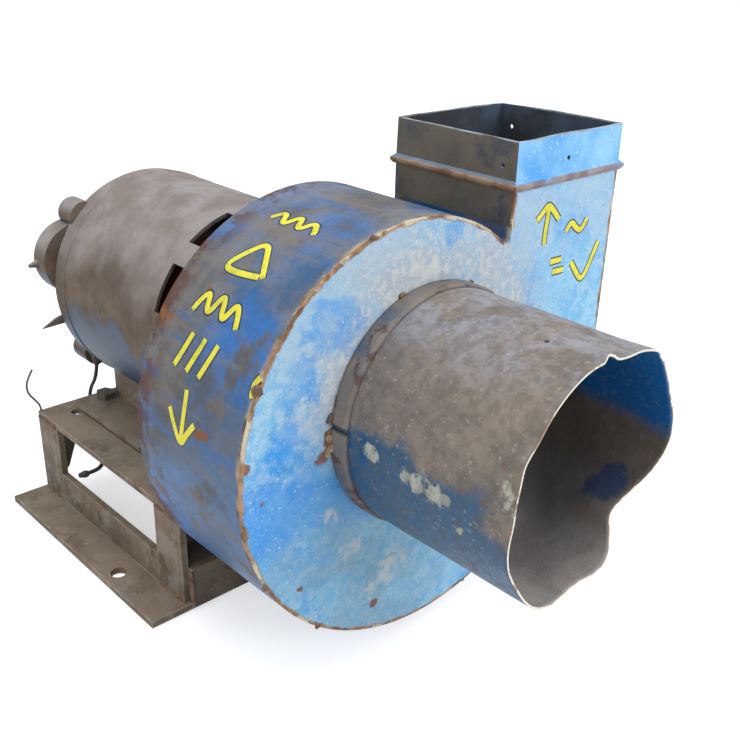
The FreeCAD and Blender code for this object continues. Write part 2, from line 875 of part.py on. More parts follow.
def build_rear_bell(shell):
    """The rear end bell: a shallow dome with four bolt ears and one cast bulge for the leads."""
    bell = new_body("rear_end_bell")
    flange = shell_end + 0.4
    outer = S.shell_radius - 0.4
    wall = S.rear_bell_wall
    lip = shell_bore - S.bore_fit * 2
    lip_inner = lip - S.spigot_wall + 1
    seat_end = rear_bearing + S.bearing_width + S.bore_fit
    revolve(bell, [
        (0, rear_bell_end),
        (housing_radius - 5, rear_bell_end),
        (housing_radius - 1, rear_bell_end - 3),
        (housing_radius + 1, rear_bell_end - 8),
        (outer * 0.71, rear_bell_end - S.dome_crown),
        (outer * 0.9, rear_bell_end - S.dome_shoulder),
        (outer - 2, rear_bell_end - S.dome_edge),
        (outer, rear_bell_end - S.dome_rim),
        (outer, flange),
        (lip, flange),
        (lip, flange - S.spigot_depth),
        (lip_inner, flange - S.spigot_depth),
        (lip_inner, rear_bell_end - S.dome_rim - 1),
        (outer * 0.88, rear_bell_end - S.dome_shoulder - 1 - wall),
        (outer * 0.7, rear_bell_end - S.dome_crown - 1 - wall),
        (housing_radius, rear_bell_end - S.dome_crown + 2 - wall),
        (housing_radius, rear_bearing - 2),
        (housing_bore, rear_bearing - 2),
        (housing_bore, seat_end),
        (housing_bore - 6, seat_end),
        (housing_bore - 6, seat_end + 2.5),
        (0, seat_end + 2.5),
    ])
    pitch = S.ear_pitch_radius * round(math.sqrt(0.5), 6)
    ear = extrude(bell, "XZ_Plane", shell_end + S.ear_start, S.ear_length,
                  [(S.ear_radius, pitch, pitch)])
    repeat_round(bell, ear, 4)
    extrude(bell, "XZ_Plane", rear_bell_end - S.bulge_set_back - S.bulge_length, S.bulge_length,
            [(S.bulge_radius, S.bulge_across, S.bulge_height)])
    hole = extrude(bell, "XZ_Plane", shell_end - S.spigot_depth - 1, S.rear_bell_length,
                   [(S.bolt_radius + S.bolt_gap, pitch, pitch)], cut=True)
    repeat_round(bell, hole, 4)
    half = S.vent_width / 2
    for across in (-1, 0, 1):
        centre = S.vent_radius * (across * 0.75)
        low = -S.vent_radius * (1 - abs(across) * 0.28)
        extrude(bell, "XZ_Plane", shell_end + 9, S.rear_bell_length,
                [block(centre - half, centre + half, low, low + S.vent_tall)], cut=True)
    name_part(bell, "rear_end_bell")

    plug = doc.addObject("Part::Cone", "vent_plug_cone")
    bind(plug, "Radius1", S.plug_base_radius)
    bind(plug, "Radius2", S.plug_tip_radius)
    bind(plug, "Height", S.plug_length)
    station = rear_bell_end - S.bulge_set_back - S.bulge_length / 3
    root = Vector(float(S.bulge_across - S.bulge_radius + 6), float(station), float(S.bulge_height))
    plug.Placement = Placement(root, Rotation(Vector(0, 0, 1), Vector(-0.93, 0.25, -0.2)))
    trimmed("rear_vent_plug", plug, [bell])

    tab = new_body("rear_tab")
    extrude(tab, "XZ_Plane", rear_bell_end - S.dome_shoulder, S.tab_gauge,
            [[(-66, -20), (-69, -30), (-94.5, -31), (-83, -25)]])
    trimmed("rear_bent_tab", tab, [bell])

    boot = doc.addObject("Part::Cone", "lead_boot_cone")
    bind(boot, "Radius1", S.boot_radius)
    bind(boot, "Radius2", S.lead_radius + 1)
    bind(boot, "Height", S.boot_length)
    start = lead_start - lead_direction * S.boot_length.value
    boot.Placement = Placement(start, Rotation(Vector(0, 0, 1), lead_direction))
    inside = rod("bell_clearance", outer, S.rear_bell_length * 1.5,
                 Vector(0, float(rear_bell_end - S.rear_bell_length * 1.5), 0), Vector(0, 1, 0))
    trimmed("lead_boot", boot, [bell, inside, shell])


def build_stator():
    core = new_body("stator_core")
    length = S.core_length
    outer = shell_bore - S.bore_fit * 2
    extrude(core, "XZ_Plane", core_start, length, [(outer,), (S.core_bore_radius,)])
    base = S.core_bore_radius + 3
    half = S.slot_width / 2
    slot = extrude(core, "XZ_Plane", core_start, length,
                   [block(-half, half, base, base + S.slot_depth)], cut=True)
    repeat_round(core, slot, S.slot_count)
    mouth = S.slot_mouth / 2
    opening = extrude(core, "XZ_Plane", core_start, length,
                      [block(-mouth, mouth, S.core_bore_radius - 1, base + 1)], cut=True)
    repeat_round(core, opening, S.slot_count)
    groove = S.bolt_radius + 0.5
    pitch = S.ear_pitch_radius
    notch = extrude(core, "XZ_Plane", core_start, length,
                    [block(pitch - groove, S.shell_radius, -groove, groove)], cut=True)
    repeat_round(core, notch, 4)
    core.Placement = turn_about_shaft(45)
    name_part(core, "stator_core")

    winding = new_body("stator_windings")
    reach = S.winding_overhang
    ring_inner = base + S.slot_liner
    rings = [(S.winding_outer_radius,), (ring_inner,)]
    extrude(winding, "XZ_Plane", core_start - reach, reach - 1.5, rings)
    bar = extrude(winding, "XZ_Plane", core_start - reach + 1, length + reach + 2,
                  [block(-half + S.slot_liner, half - S.slot_liner,
                         ring_inner + 0.5, base + S.slot_depth - S.slot_liner)])
    repeat_round(winding, bar, S.slot_count)
    extrude(winding, "XZ_Plane", core_end + 1.5, reach - 1.5, rings)
    winding.Placement = turn_about_shaft(45)
    name_part(winding, "stator_windings")


def build_motor_bolts():
    bolt = new_body("through_bolt")
    seat = shell_end + S.ear_start + S.ear_length
    start = back_face + 3
    pitch = S.ear_pitch_radius * round(math.sqrt(0.5), 6)
    extrude(bolt, "XZ_Plane", start, seat - start, [(S.bolt_radius, 0, 0)])
    extrude(bolt, "XZ_Plane", seat, S.bolt_head, [hexagon(S.bolt_head_radius)])
    at = pitch.value
    bolt.Placement = Placement(Vector(at, 0, at), Rotation())
    doc.recompute()
    copies("through_bolts", bolt, around(4))

    face = new_body("face_bolt")
    seat = back_face - gauge
    extrude(face, "XZ_Plane", seat - S.face_bolt_head, S.face_bolt_head,
            [hexagon(S.face_bolt_head_radius)])
    extrude(face, "XZ_Plane", seat - 1, gauge + S.bell_web, [(S.face_bolt_radius, 0, 0)])
    at = S.face_bolt_circle.value * math.sqrt(0.5)
    face.Placement = Placement(Vector(at, 0, at), Rotation())
    doc.recompute()
    copies("casing_face_bolts", face, around(4))


# Motor foot and base

def foot_spots():
    first = float(back_face + S.foot_start + S.foot_bolt_first)
    across = S.foot_bolt_across.value
    stations = (first, first + S.foot_bolt_pitch.value)
    return [(side * across, station) for side in (-1, 1) for station in stations]


def build_foot():
    foot_start = back_face + S.foot_start
    hole = S.foot_bolt_radius + S.foot_bolt_gap
    first = foot_start + S.foot_bolt_first
    spots = []
    for across in (-S.foot_bolt_across, S.foot_bolt_across):
        for station in (first, first + S.foot_bolt_pitch):
            spots.append((hole, across, station))

    plate = new_body("motor_foot_plate")
    half = S.foot_half_width
    outline = block(-half, half, foot_start, foot_start + S.foot_length)
    extrude(plate, "XY_Plane", foot_under, S.foot_thickness, [outline] + spots)
    name_part(plate, "motor_foot_plate")

    saddle = new_body("motor_saddle")
    wide = S.saddle_half_width
    narrow = wide - S.saddle_wall
    high = -S.shell_radius * 0.6
    extrude(saddle, "XZ_Plane", foot_start + 8, S.foot_length - 16, [[
        (-wide, foot_top), (wide, foot_top), (wide, high), (narrow, high),
        (narrow, foot_top + S.saddle_wall), (-narrow, foot_top + S.saddle_wall),
        (-narrow, high), (-wide, high),
    ]])
    clear = rod("saddle_clearance", S.shell_radius, S.shell_length,
                Vector(0, float(shell_start), 0), Vector(0, 1, 0))
    trimmed("motor_saddle", saddle, [clear])

    def place(height):
        return [Placement(Vector(x, y, float(height)), Rotation()) for x, y in foot_spots()]

    washer = new_body("foot_washer")
    extrude(washer, "XY_Plane", 0, S.washer_thickness, [(S.washer_radius,), (hole,)])
    copies("foot_washers", washer, place(table_top))

    grip = S.foot_thickness + S.washer_thickness + S.table_thickness
    bolt = new_body("foot_bolt")
    tail = grip + S.foot_nut_height + S.foot_bolt_tail
    extrude(bolt, "XY_Plane", 0, S.foot_bolt_head, [hexagon(S.foot_bolt_head_radius)])
    extrude(bolt, "XY_Plane", -tail, tail + 1, [(S.foot_bolt_radius,)])
    copies("foot_bolts", bolt, place(foot_top))

    nut = new_body("foot_nut")
    extrude(nut, "XY_Plane", 0, S.foot_nut_height,
            [hexagon(S.foot_bolt_head_radius), (S.foot_bolt_radius + S.bolt_gap,)])
    copies("foot_nuts", nut, place(table_under - S.foot_nut_height))
    return spots


def build_table(spots):
    table = new_body("table_plate")
    half = S.table_half_width
    start = back_face + S.table_start
    end = start + table_length
    hole = (S.wire_hole_radius, S.wire_hole_across, end - S.wire_hole_back)
    extrude(table, "XY_Plane", table_under, S.table_thickness,
            [block(-half, half, start, end), hole] + spots)
    name_part(table, "table_plate")


def build_base():
    start = back_face + S.table_start
    rear_leg_end = start + table_length + 1
    rail_length = table_length + S.rail_overhang
    front_leg_start = start + S.leg_setback
    wall = S.angle_wall
    for name, side in (("left", -1), ("right", 1)):

        def mirrored(corners):
            return [(across * side, up) for across, up in corners]

        outside = S.table_half_width
        inside = outside - wall
        foot = outside + S.angle_leg - wall

        rail = new_body(f"{name}_rail")
        extrude(rail, "XZ_Plane", start, rail_length, [mirrored([
            (foot, floor), (inside, floor), (inside, floor + S.rail_tall),
            (outside, floor + S.rail_tall), (outside, floor + wall), (foot, floor + wall),
        ])])
        anchor = (S.anchor_radius, (foot - S.anchor_in) * side, start + S.anchor_back)
        extrude(rail, "XY_Plane", floor - 1, wall + 2, [anchor], cut=True)
        for first, last in ((start - 1, front_leg_start + S.leg_width),
                            (rear_leg_end - S.leg_width, start + rail_length + 1)):
            notch = mirrored(block(inside - 1, outside + 1, first, last))
            extrude(rail, "XY_Plane", floor + wall, S.rail_tall, [notch], cut=True)
        name_part(rail, f"{name}_rail")

        leg_height = table_under - floor - wall
        end = front_leg_start + S.leg_width
        front = new_body(f"front_{name}_leg")
        extrude(front, "XY_Plane", floor + wall, leg_height, [mirrored([
            (outside, front_leg_start), (outside, end), (outside - S.leg_flange, end),
            (outside - S.leg_flange, end - wall), (inside, end - wall), (inside, front_leg_start),
        ])])
        name_part(front, f"front_{name}_leg")

        rear = new_body(f"rear_{name}_leg")
        leg_start = rear_leg_end - S.leg_width
        extrude(rear, "XY_Plane", floor + wall, leg_height,
                [mirrored(block(inside, outside, leg_start, rear_leg_end))])
        web = S.leg_flange - 6
        extrude(rear, "XZ_Plane", rear_leg_end - wall, wall, [mirrored([
            (outside, table_under), (outside - web, table_under), (outside - web, floor + 38),
            (outside - web + 7, floor + 20), (outside - web + 14, floor + 12),
            (outside, floor + 8),
        ])])
        name_part(rear, f"rear_{name}_leg")

    cross = new_body("front_cross_rail")
    end = S.table_half_width - wall
    top = floor + S.cross_tall
    extrude(cross, "YZ_Plane", -end, end * 2, [[
        (start, floor), (start + S.cross_wall, floor), (start + S.cross_wall, top - S.cross_wall),
        (start + S.cross_flange, top - S.cross_wall), (start + S.cross_flange, top), (start, top),
    ]])
    name_part(cross, "front_cross_rail")


# Leads: routes chosen by hand, as straight runs joined by tangent arcs

def route(start, points):
    """Turn offsets from one point of the machine into places, in mm."""
    return [start + Vector(*point) for point in points]


lead_anchor = Vector(0, float(shell_end), float(table_under))
lead_route = route(lead_anchor, [
    (-60.3, 4, 35),
    (-59.6, 8, 21.5),
    (-60.5, 20, 7),
    (-62, 21, -8.5),
    (-65, 8.5, -19),
    (-70.5, -8, -20.5),
    (-78.5, -26, -17),
    (-87, -44, -12),
    (-96, -63, -8),
    (-103.5, -78.5, -6.3),
    (-114, -86.5, -5.8),
    (-126, -84.5, -5.7),
])
table_end = back_face + S.table_start + table_length
strand_anchor = Vector(-float(S.table_half_width), float(table_end), float(table_top))
strand_route = route(strand_anchor, [
    (1.7, -1.7, 0),
    (1.7, -1.7, 4.7),
    (-1.8, -0.5, 10.4),
    (-6.2, 0, 16.6),
    (-7, 0.2, 23.8),
    (-4.4, 0.2, 30.4),
    (-0.6, 0, 36.1),
])
lead_start = lead_route[0]
lead_direction = (lead_route[1] - lead_route[0]).normalize()


def cord_tube(name, points, radius):
    """A round cord along straight runs joined by arcs as large as the runs allow."""
    edges = []
    length = 0.0
    radii = []
    last = points[0]
    for before, corner, after in zip(points, points[1:], points[2:]):
        back = (before - corner).normalize()
        ahead = (after - corner).normalize()
        half_turn = (math.pi - back.getAngle(ahead)) / 2
        trim = 0.45 * min((before - corner).Length, (after - corner).Length)
        bend = trim / math.tan(half_turn)
        radii.append(round(bend, 1))
        enter = corner + back * trim
        leave = corner + ahead * trim
        centre = corner + (back + ahead).normalize() * (bend / math.cos(half_turn))
        belly = centre + (corner - centre).normalize() * bend
        edges.append(Part.LineSegment(last, enter).toShape())
        edges.append(Part.Arc(enter, belly, leave).toShape())
        length += (enter - last).Length + 2 * half_turn * bend
        last = leave
    edges.append(Part.LineSegment(last, points[-1]).toShape())
    length += (points[-1] - last).Length
    path = Part.Wire(edges)
    start = (points[1] - points[0]).normalize()
    section = Part.Wire(Part.makeCircle(float(radius), points[0], start))
    tube = path.makePipeShell([section], True, False)
    expected = math.pi * float(radius) ** 2 * length
    print(name, "length", round(length, 1), "bend radii", radii,
          "volume ratio", round(tube.Volume / expected, 4))
    return tube


def build_leads():
    lead = cord_tube("motor_lead", lead_route, S.lead_radius)
    tail = lead_route[-1]
    head = lead_route[-2]
    along = (tail - head).normalize()
    run = (tail - head).Length
    sleeve_start = head + along * (0.45 * run + 0.2)
    sleeve_length = (tail - sleeve_start).Length
    bore = Part.makeCylinder(float(S.lead_radius), sleeve_length + 1, sleeve_start, along)
    thick = float(S.tape_radius)
    body = Part.makeCone(thick * 0.8, thick, sleeve_length * 0.4, sleeve_start, along)
    nose_start = sleeve_start + along * (sleeve_length * 0.4)
    nose = Part.makeCone(thick, thick * 0.6, sleeve_length * 0.6 + 0.5, nose_start, along)
    free_part("motor_lead", lead)
    free_part("lead_tape", body.fuse(nose).removeSplitter().cut(bore))
    free_part("earth_strand", cord_tube("earth_strand", strand_route, S.strand_radius))


build_casing()
build_outlet_spigot()
build_inlet()
build_impeller()
build_rotor()
build_bearing("front", front_bearing)
build_bearing("rear", rear_bearing)
motor_shell = build_shell()
build_drive_bell()
build_rear_bell(motor_shell)
build_stator()
build_motor_bolts()
build_table(build_foot())
build_base()
build_leads()

doc.recompute()
for item in doc.Objects:
    if "Invalid" in item.State or "Error" in item.State:
        raise RuntimeError(f"{item.Label} failed: {item.State}")
for name, item in parts.items():
    if item.Shape.isNull() or not item.Shape.isValid() or not item.Shape.Solids:
        raise RuntimeError(f"{name} has no valid solid")

os.makedirs("parts", exist_ok=True)
for name, item in parts.items():
    item.Shape.exportStep(f"parts/{name}.step")
print(len(parts), "pieces written")
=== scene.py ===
# %% [markdown]
# # A used combustion fan
# This notebook dresses a centrifugal blower: a rolled steel casing, a dented round inlet,
# a square outlet, and a motor on a small base of angle iron. The shapes come from a packed
# CAD model, which is a fixed frame here. Everything is in metres and shares its origin,
# the point where the shaft meets the outer face of the front plate.

# %% Open the frame
import math

import bmesh
import bpy
from mathutils import Matrix, Vector, noise
from mathutils.bvhtree import BVHTree


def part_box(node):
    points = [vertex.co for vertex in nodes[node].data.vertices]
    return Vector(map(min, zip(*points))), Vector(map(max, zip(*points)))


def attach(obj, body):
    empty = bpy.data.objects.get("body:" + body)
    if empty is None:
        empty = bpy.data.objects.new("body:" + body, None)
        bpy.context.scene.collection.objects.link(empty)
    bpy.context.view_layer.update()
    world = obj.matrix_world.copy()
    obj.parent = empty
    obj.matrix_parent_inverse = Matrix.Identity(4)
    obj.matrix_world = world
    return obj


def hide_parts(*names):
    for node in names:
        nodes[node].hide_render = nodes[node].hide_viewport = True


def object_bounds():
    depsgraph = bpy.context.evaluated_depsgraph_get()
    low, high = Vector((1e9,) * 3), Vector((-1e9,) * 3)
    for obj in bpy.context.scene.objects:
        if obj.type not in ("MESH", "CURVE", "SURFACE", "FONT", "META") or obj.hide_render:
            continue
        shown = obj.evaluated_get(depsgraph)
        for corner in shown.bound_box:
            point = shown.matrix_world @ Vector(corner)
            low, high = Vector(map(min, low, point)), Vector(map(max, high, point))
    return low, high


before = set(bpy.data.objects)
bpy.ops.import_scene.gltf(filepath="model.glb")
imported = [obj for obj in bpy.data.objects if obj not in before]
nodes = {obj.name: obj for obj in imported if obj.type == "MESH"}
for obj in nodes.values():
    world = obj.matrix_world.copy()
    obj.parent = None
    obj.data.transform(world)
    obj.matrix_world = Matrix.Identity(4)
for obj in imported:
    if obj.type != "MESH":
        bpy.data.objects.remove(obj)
cad_low, cad_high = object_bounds()
MM = 0.001
print("pieces in the frame:", len(nodes))

# %% [markdown]
# ## The camera
# The eye, its turn and its lens were worked out from corners of the fan whose places are
# known. A camera looks along its own -Z, so its matrix is built from three directions:
# right, up and backwards. The lens follows from how many pixels one unit of slope covers.

# %% Set the camera
PHOTO_WIDTH = 740
PHOTO_HEIGHT = 750
PIXELS_PER_SLOPE = 978.3
AXIS_PIXEL = (367.5, 387.5)
EYE = Vector((-0.3947, -0.3703, 0.2621))
YAW = math.radians(43.10)
PITCH = math.radians(25.25)
ROLL = math.radians(1.48)

ahead = Vector((math.sin(YAW) * math.cos(PITCH), math.cos(YAW) * math.cos(PITCH), -math.sin(PITCH)))
level_right = ahead.cross(Vector((0, 0, 1))).normalized()
level_up = level_right.cross(ahead)
right = level_right * math.cos(ROLL) + level_up * math.sin(ROLL)
upward = level_up * math.cos(ROLL) - level_right * math.sin(ROLL)

camera_data = bpy.data.cameras.new("camera")
camera_data.sensor_width = 36
camera_data.lens = PIXELS_PER_SLOPE * camera_data.sensor_width / PHOTO_HEIGHT
camera_data.shift_x = (PHOTO_WIDTH / 2 - AXIS_PIXEL[0]) / PHOTO_HEIGHT
camera_data.shift_y = (AXIS_PIXEL[1] - PHOTO_HEIGHT / 2) / PHOTO_HEIGHT
camera_data.clip_start = 0.01
camera = bpy.data.objects.new("camera", camera_data)
bpy.context.scene.collection.objects.link(camera)
turn = Matrix((right, upward, -ahead)).transposed().to_4x4()
camera.matrix_world = Matrix.Translation(EYE) @ turn
bpy.context.scene.camera = camera
bpy.context.view_layer.update()
print("lens", round(camera_data.lens, 2), "mm")

# %% [markdown]
# ## Finding a place on the fan
# Wear and paint strokes are placed where they are seen. A ray from the eye through a pixel
# of the picture meets the surface of a piece, and that point is where the mark goes, so
# the mark sits on its carrier from every side.

# %% A point of a surface from a pixel
def ray_through(pixel):
    x = (pixel[0] - AXIS_PIXEL[0]) / PIXELS_PER_SLOPE
    y = (AXIS_PIXEL[1] - pixel[1]) / PIXELS_PER_SLOPE
    return (ahead + right * x + upward * y).normalized()


surfaces = {}


def seen_on(node_name, pixel):
    """The point of a CAD piece that the camera sees at a pixel of the picture."""
    if node_name not in surfaces:
        data = nodes[node_name].data
        surfaces[node_name] = BVHTree.FromPolygons(
            [vertex.co for vertex in data.vertices], [face.vertices for face in data.polygons])
    place = surfaces[node_name].ray_cast(EYE, ray_through(pixel))[0]
    if place is None:
        raise ValueError(f"{node_name} isn't under pixel {pixel}")
    return place


def marks_on(node_name, pixels):
    """(place, radius) marks from (pixel, radius in mm) pairs."""
    return [(seen_on(node_name, pixel), size * MM) for pixel, size in pixels]


print("front plate under (300, 450):", seen_on("front_side_plate", (300, 450)))

# %% [markdown]
# ## The leads
# Two wires leave the machine. The rubber motor lead drops from a boot on the rear end bell,
# goes under the table and ends in a taped tip. A bare strand stands up from the table's
# rear corner. Each is one NURBS curve: its control points are the corners of the route,
# and the curve rounds them by itself, as a wire does.

# %% Draw the leads
LEAD_ROUTE = [
    (-60.3, 310, -64.5), (-59.6, 314, -78), (-60.5, 326, -92.5), (-62, 327, -108),
    (-65, 314.5, -118.5), (-70.5, 298, -120), (-78.5, 280, -116.5), (-87, 262, -111.5),
    (-96, 243, -107.5), (-103.5, 227.5, -105.8), (-114, 219.5, -105.3), (-126, 221.5, -105.2),
]
STRAND_ROUTE = [
    (-108.3, 317.3, -95), (-108.3, 317.3, -90.3), (-111.8, 318.5, -84.6), (-116.2, 319, -78.4),
    (-117, 319.2, -71.2), (-114.4, 319.2, -64.6), (-110.6, 319, -58.9),
]
LEAD_RADIUS = 1.5 * MM
STRAND_RADIUS = 0.85 * MM


def wire(name, route, radius):
    """A round NURBS wire. Blender grows a curve's box by the radius of its points, so that
    radius is the wire's own and the bevel depth only multiplies it by one."""
    data = bpy.data.curves.new(name, "CURVE")
    data.dimensions = "3D"
    spline = data.splines.new("NURBS")
    spline.points.add(len(route) - 1)
    for point, corner in zip(spline.points, route):
        point.co = (*(Vector(corner) * MM), 1)
        point.radius = radius
    spline.order_u = 3
    spline.use_endpoint_u = True
    data.resolution_u = 10
    data.bevel_depth = 1.0
    data.bevel_resolution = 5
    data.use_fill_caps = True
    curve = bpy.data.objects.new(name, data)
    bpy.context.scene.collection.objects.link(curve)
    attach(curve, "frame")
    return curve


motor_wire = wire("motor_wire", LEAD_ROUTE, LEAD_RADIUS)
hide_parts("motor_lead")
strand = wire("bare_strand", STRAND_ROUTE, STRAND_RADIUS)
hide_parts("earth_strand")
print("leads drawn:", motor_wire.name, strand.name)

# %% [markdown]
# ## Floor and light
# The fan stands on a pale floor under soft light. The floor keeps the shadow but looks
# white to the camera: a little emission that only camera, glossy and see-through rays meet
# lifts its colour, so it adds no light to the object. The world is white for those rays too.

# %% Helpers for objects and node trees
def object_from(name, mesh):
    """Turn a bmesh into an object of the scene."""
    data = bpy.data.meshes.new(name)
    mesh.to_mesh(data)
    mesh.free()
    made = bpy.data.objects.new(name, data)
    bpy.context.scene.collection.objects.link(made)
    return made


def put(tree, kind, inputs=(), **settings):
    """Add a node, set its properties, then link or set its inputs."""
    node = tree.nodes.new("ShaderNode" + kind)
    for name, value in settings.items():
        setattr(node, name, value)
    for socket, value in dict(inputs).items():
        if isinstance(value, bpy.types.NodeSocket):
            tree.links.new(value, node.inputs[socket])
        else:
            node.inputs[socket].default_value = value
    return node


def reckon(tree, operation, first, second=0.0, third=0.0):
    return put(tree, "Math", {0: first, 1: second, 2: third}, operation=operation).outputs[0]


def rise(tree, value, low, high):
    """0 below low, 1 above high, and smooth between."""
    return put(tree, "MapRange", {"Value": value, "From Min": low, "From Max": high},
               interpolation_type="SMOOTHSTEP").outputs[0]


def blend_colours(tree, factor, under, over):
    return put(tree, "Mix", {0: factor, 6: under, 7: over}, data_type="RGBA").outputs[2]


def rays_of_the_background(tree):
    path = put(tree, "LightPath").outputs
    seen = reckon(tree, "ADD", path["Is Camera Ray"], path["Is Glossy Ray"])
    return reckon(tree, "MINIMUM", reckon(tree, "ADD", seen, path["Is Transmission Ray"]), 1.0)


def screen(red, green, blue):
    """A colour as seen on a screen, 0 to 255, turned into the linear colour of a shader."""
    linear = []
    for part in (red, green, blue):
        share = part / 255
        linear.append(share / 12.92 if share < 0.04 else ((share + 0.055) / 1.055) ** 2.4)
    return (*linear, 1.0)


print("white is", screen(255, 255, 255))

# %% Floor, world and lamps
FLOOR_HEIGHT = cad_low.z
FLOOR_LIFT = 0.55
FLOOR_REACH = 6
FLOOR_GAP = 0.2 * MM

floor_mesh = bmesh.new()
bmesh.ops.create_grid(floor_mesh, x_segments=1, y_segments=1, size=FLOOR_REACH)
bmesh.ops.translate(floor_mesh, verts=floor_mesh.verts, vec=(0, 0, FLOOR_HEIGHT - FLOOR_GAP))
floor = object_from("floor", floor_mesh)
floor_finish = bpy.data.materials.new("pale_floor")
floor_finish.use_nodes = True
floor_tree = floor_finish.node_tree
floor_shader = floor_tree.nodes["Principled BSDF"]
floor_shader.inputs["Base Color"].default_value = screen(226, 226, 226)
floor_shader.inputs["Roughness"].default_value = 0.9
floor_shader.inputs["Emission Color"].default_value = (1, 1, 1, 1)
lift = reckon(floor_tree, "MULTIPLY", rays_of_the_background(floor_tree), FLOOR_LIFT)
floor_tree.links.new(lift, floor_shader.inputs["Emission Strength"])
floor.data.materials.append(floor_finish)

world = bpy.data.worlds.new("studio")
bpy.context.scene.world = world
world.use_nodes = True
world_tree = world.node_tree
sky = world_tree.nodes["Background"]
sky_seen = rays_of_the_background(world_tree)
sky_colour = blend_colours(world_tree, sky_seen, (0.95, 0.97, 1.0, 1), (1, 1, 1, 1))
world_tree.links.new(sky_colour, sky.inputs["Color"])
SKY_STRENGTH = 0.62
strength = put(world_tree, "MapRange", {"Value": sky_seen, "To Min": SKY_STRENGTH, "To Max": 1.0})
world_tree.links.new(strength.outputs[0], sky.inputs["Strength"])


def lamp(name, place, aim, size, power):
    data = bpy.data.lights.new(name, "AREA")
    data.size = size
    data.energy = power
    light = bpy.data.objects.new(name, data)
    light.location = place
    light.rotation_euler = (Vector(aim) - Vector(place)).to_track_quat("-Z", "Y").to_euler()
    bpy.context.scene.collection.objects.link(light)


lamp("front_lamp", (0.5, -1.9, 1.2), (0.02, 0, 0), 1.3, 30)
lamp("left_lamp", (-1.9, 0.2, 1.0), (0, 0.1, 0), 1.2, 9)
lamp("top_lamp", (-0.1, 0.3, 2.1), (0, 0.1, 0), 1.4, 20)
bpy.context.scene.view_settings.view_transform = "Standard"
print("floor at", round(FLOOR_HEIGHT, 4))

# %% [markdown]
# ## Masks that every finish shares
# A finish here is a stack of coats: paint, dust, rust and grime, each laid where a mask is
# white. The masks are node groups with named inputs, built once. They put out only numbers,
# and each material gives them its own values.

# %% Mask groups
def new_group(name, inputs, outputs):
    tree = bpy.data.node_groups.new(name, "ShaderNodeTree")
    for label, kind, value in inputs:
        socket = tree.interface.new_socket(label, in_out="INPUT", socket_type="NodeSocket" + kind)
        if value is not None:
            socket.default_value = value
    for label in outputs:
        tree.interface.new_socket(label, in_out="OUTPUT", socket_type="NodeSocketFloat")
    given = tree.nodes.new("NodeGroupInput").outputs
    result = tree.nodes.new("NodeGroupOutput").inputs
    return tree, given, result


patches, given, result = new_group(
    "patches",
    [("Position", "Vector", None), ("Scale", "Float", 20.0), ("Threshold", "Float", 0.5),
     ("Softness", "Float", 0.05), ("Seed", "Float", 0.0)],
    ["Mask"])
elsewhere = put(patches, "VectorMath", {0: given["Position"], 1: given["Seed"]}, operation="ADD")
cloud = put(patches, "TexNoise",
            {"Vector": elsewhere.outputs[0], "Scale": given["Scale"], "Detail": 6.0,
             "Roughness": 0.66, "Distortion": 0.2})
low = reckon(patches, "SUBTRACT", given["Threshold"], given["Softness"])
high = reckon(patches, "ADD", given["Threshold"], given["Softness"])
patches.links.new(rise(patches, cloud.outputs["Fac"], low, high), result["Mask"])

spot, given, result = new_group(
    "spot",
    [("Position", "Vector", None), ("Centre", "Vector", None), ("Radius", "Float", 0.01),
     ("Ragged", "Float", 0.01)],
    ["Mask"])
away = put(spot, "VectorMath", {0: given["Position"], 1: given["Centre"]}, operation="DISTANCE")
rough = put(spot, "TexNoise", {"Vector": given["Position"], "Scale": 90.0, "Detail": 6.0})
swing = reckon(spot, "MULTIPLY", reckon(spot, "SUBTRACT", rough.outputs["Fac"], 0.5),
               given["Ragged"])
reach = reckon(spot, "ADD", away.outputs["Value"], swing)
inner = reckon(spot, "MULTIPLY", given["Radius"], 0.55)
spot.links.new(rise(spot, reach, given["Radius"], inner), result["Mask"])

edges, given, result = new_group(
    "edges", [("Position", "Vector", None), ("Width", "Float", 0.0015), ("Ragged", "Float", 0.3)],
    ["Mask"])
soft_normal = put(edges, "Bevel", {"Radius": given["Width"]}, samples=2)
flat_normal = put(edges, "NewGeometry")
agree = put(edges, "VectorMath", {0: soft_normal.outputs[0], 1: flat_normal.outputs["Normal"]},
            operation="DOT_PRODUCT")
chips = put(edges, "TexNoise", {"Vector": given["Position"], "Scale": 160.0, "Detail": 5.0})
swing = reckon(edges, "MULTIPLY", reckon(edges, "SUBTRACT", chips.outputs["Fac"], 0.5),
               given["Ragged"])
bend = reckon(edges, "ADD", reckon(edges, "SUBTRACT", 1.0, agree.outputs["Value"]), swing)
edges.links.new(rise(edges, bend, 0.03, 0.12), result["Mask"])

grit, given, result = new_group(
    "grit", [("Position", "Vector", None), ("Scale", "Float", 900.0), ("Pits", "Float", 0.3)],
    ["Height"])
grain = put(grit, "TexNoise", {"Vector": given["Position"], "Scale": given["Scale"],
                               "Detail": 4.0, "Roughness": 0.7})
waves = put(grit, "TexNoise", {"Vector": given["Position"], "Scale": 35.0, "Detail": 3.0})
pits = put(grit, "TexVoronoi", {"Vector": given["Position"], "Scale": 260.0})
pit = reckon(grit, "MULTIPLY", rise(grit, pits.outputs["Distance"], 0.35, 0.1), given["Pits"])
level = reckon(grit, "MULTIPLY_ADD", waves.outputs["Fac"], 1.6, grain.outputs["Fac"])
grit.links.new(reckon(grit, "SUBTRACT", level, pit), result["Height"])
print("mask groups:", patches.name, spot.name, edges.name, grit.name)

# %% [markdown]
# The front plate is cut to a spiral that runs into two straight duct walls, and its edge is
# rusty. One more group measures how far a point is from that outline, with the same sizes
# as the drawing of the casing, so the rust line follows the plate's edge.

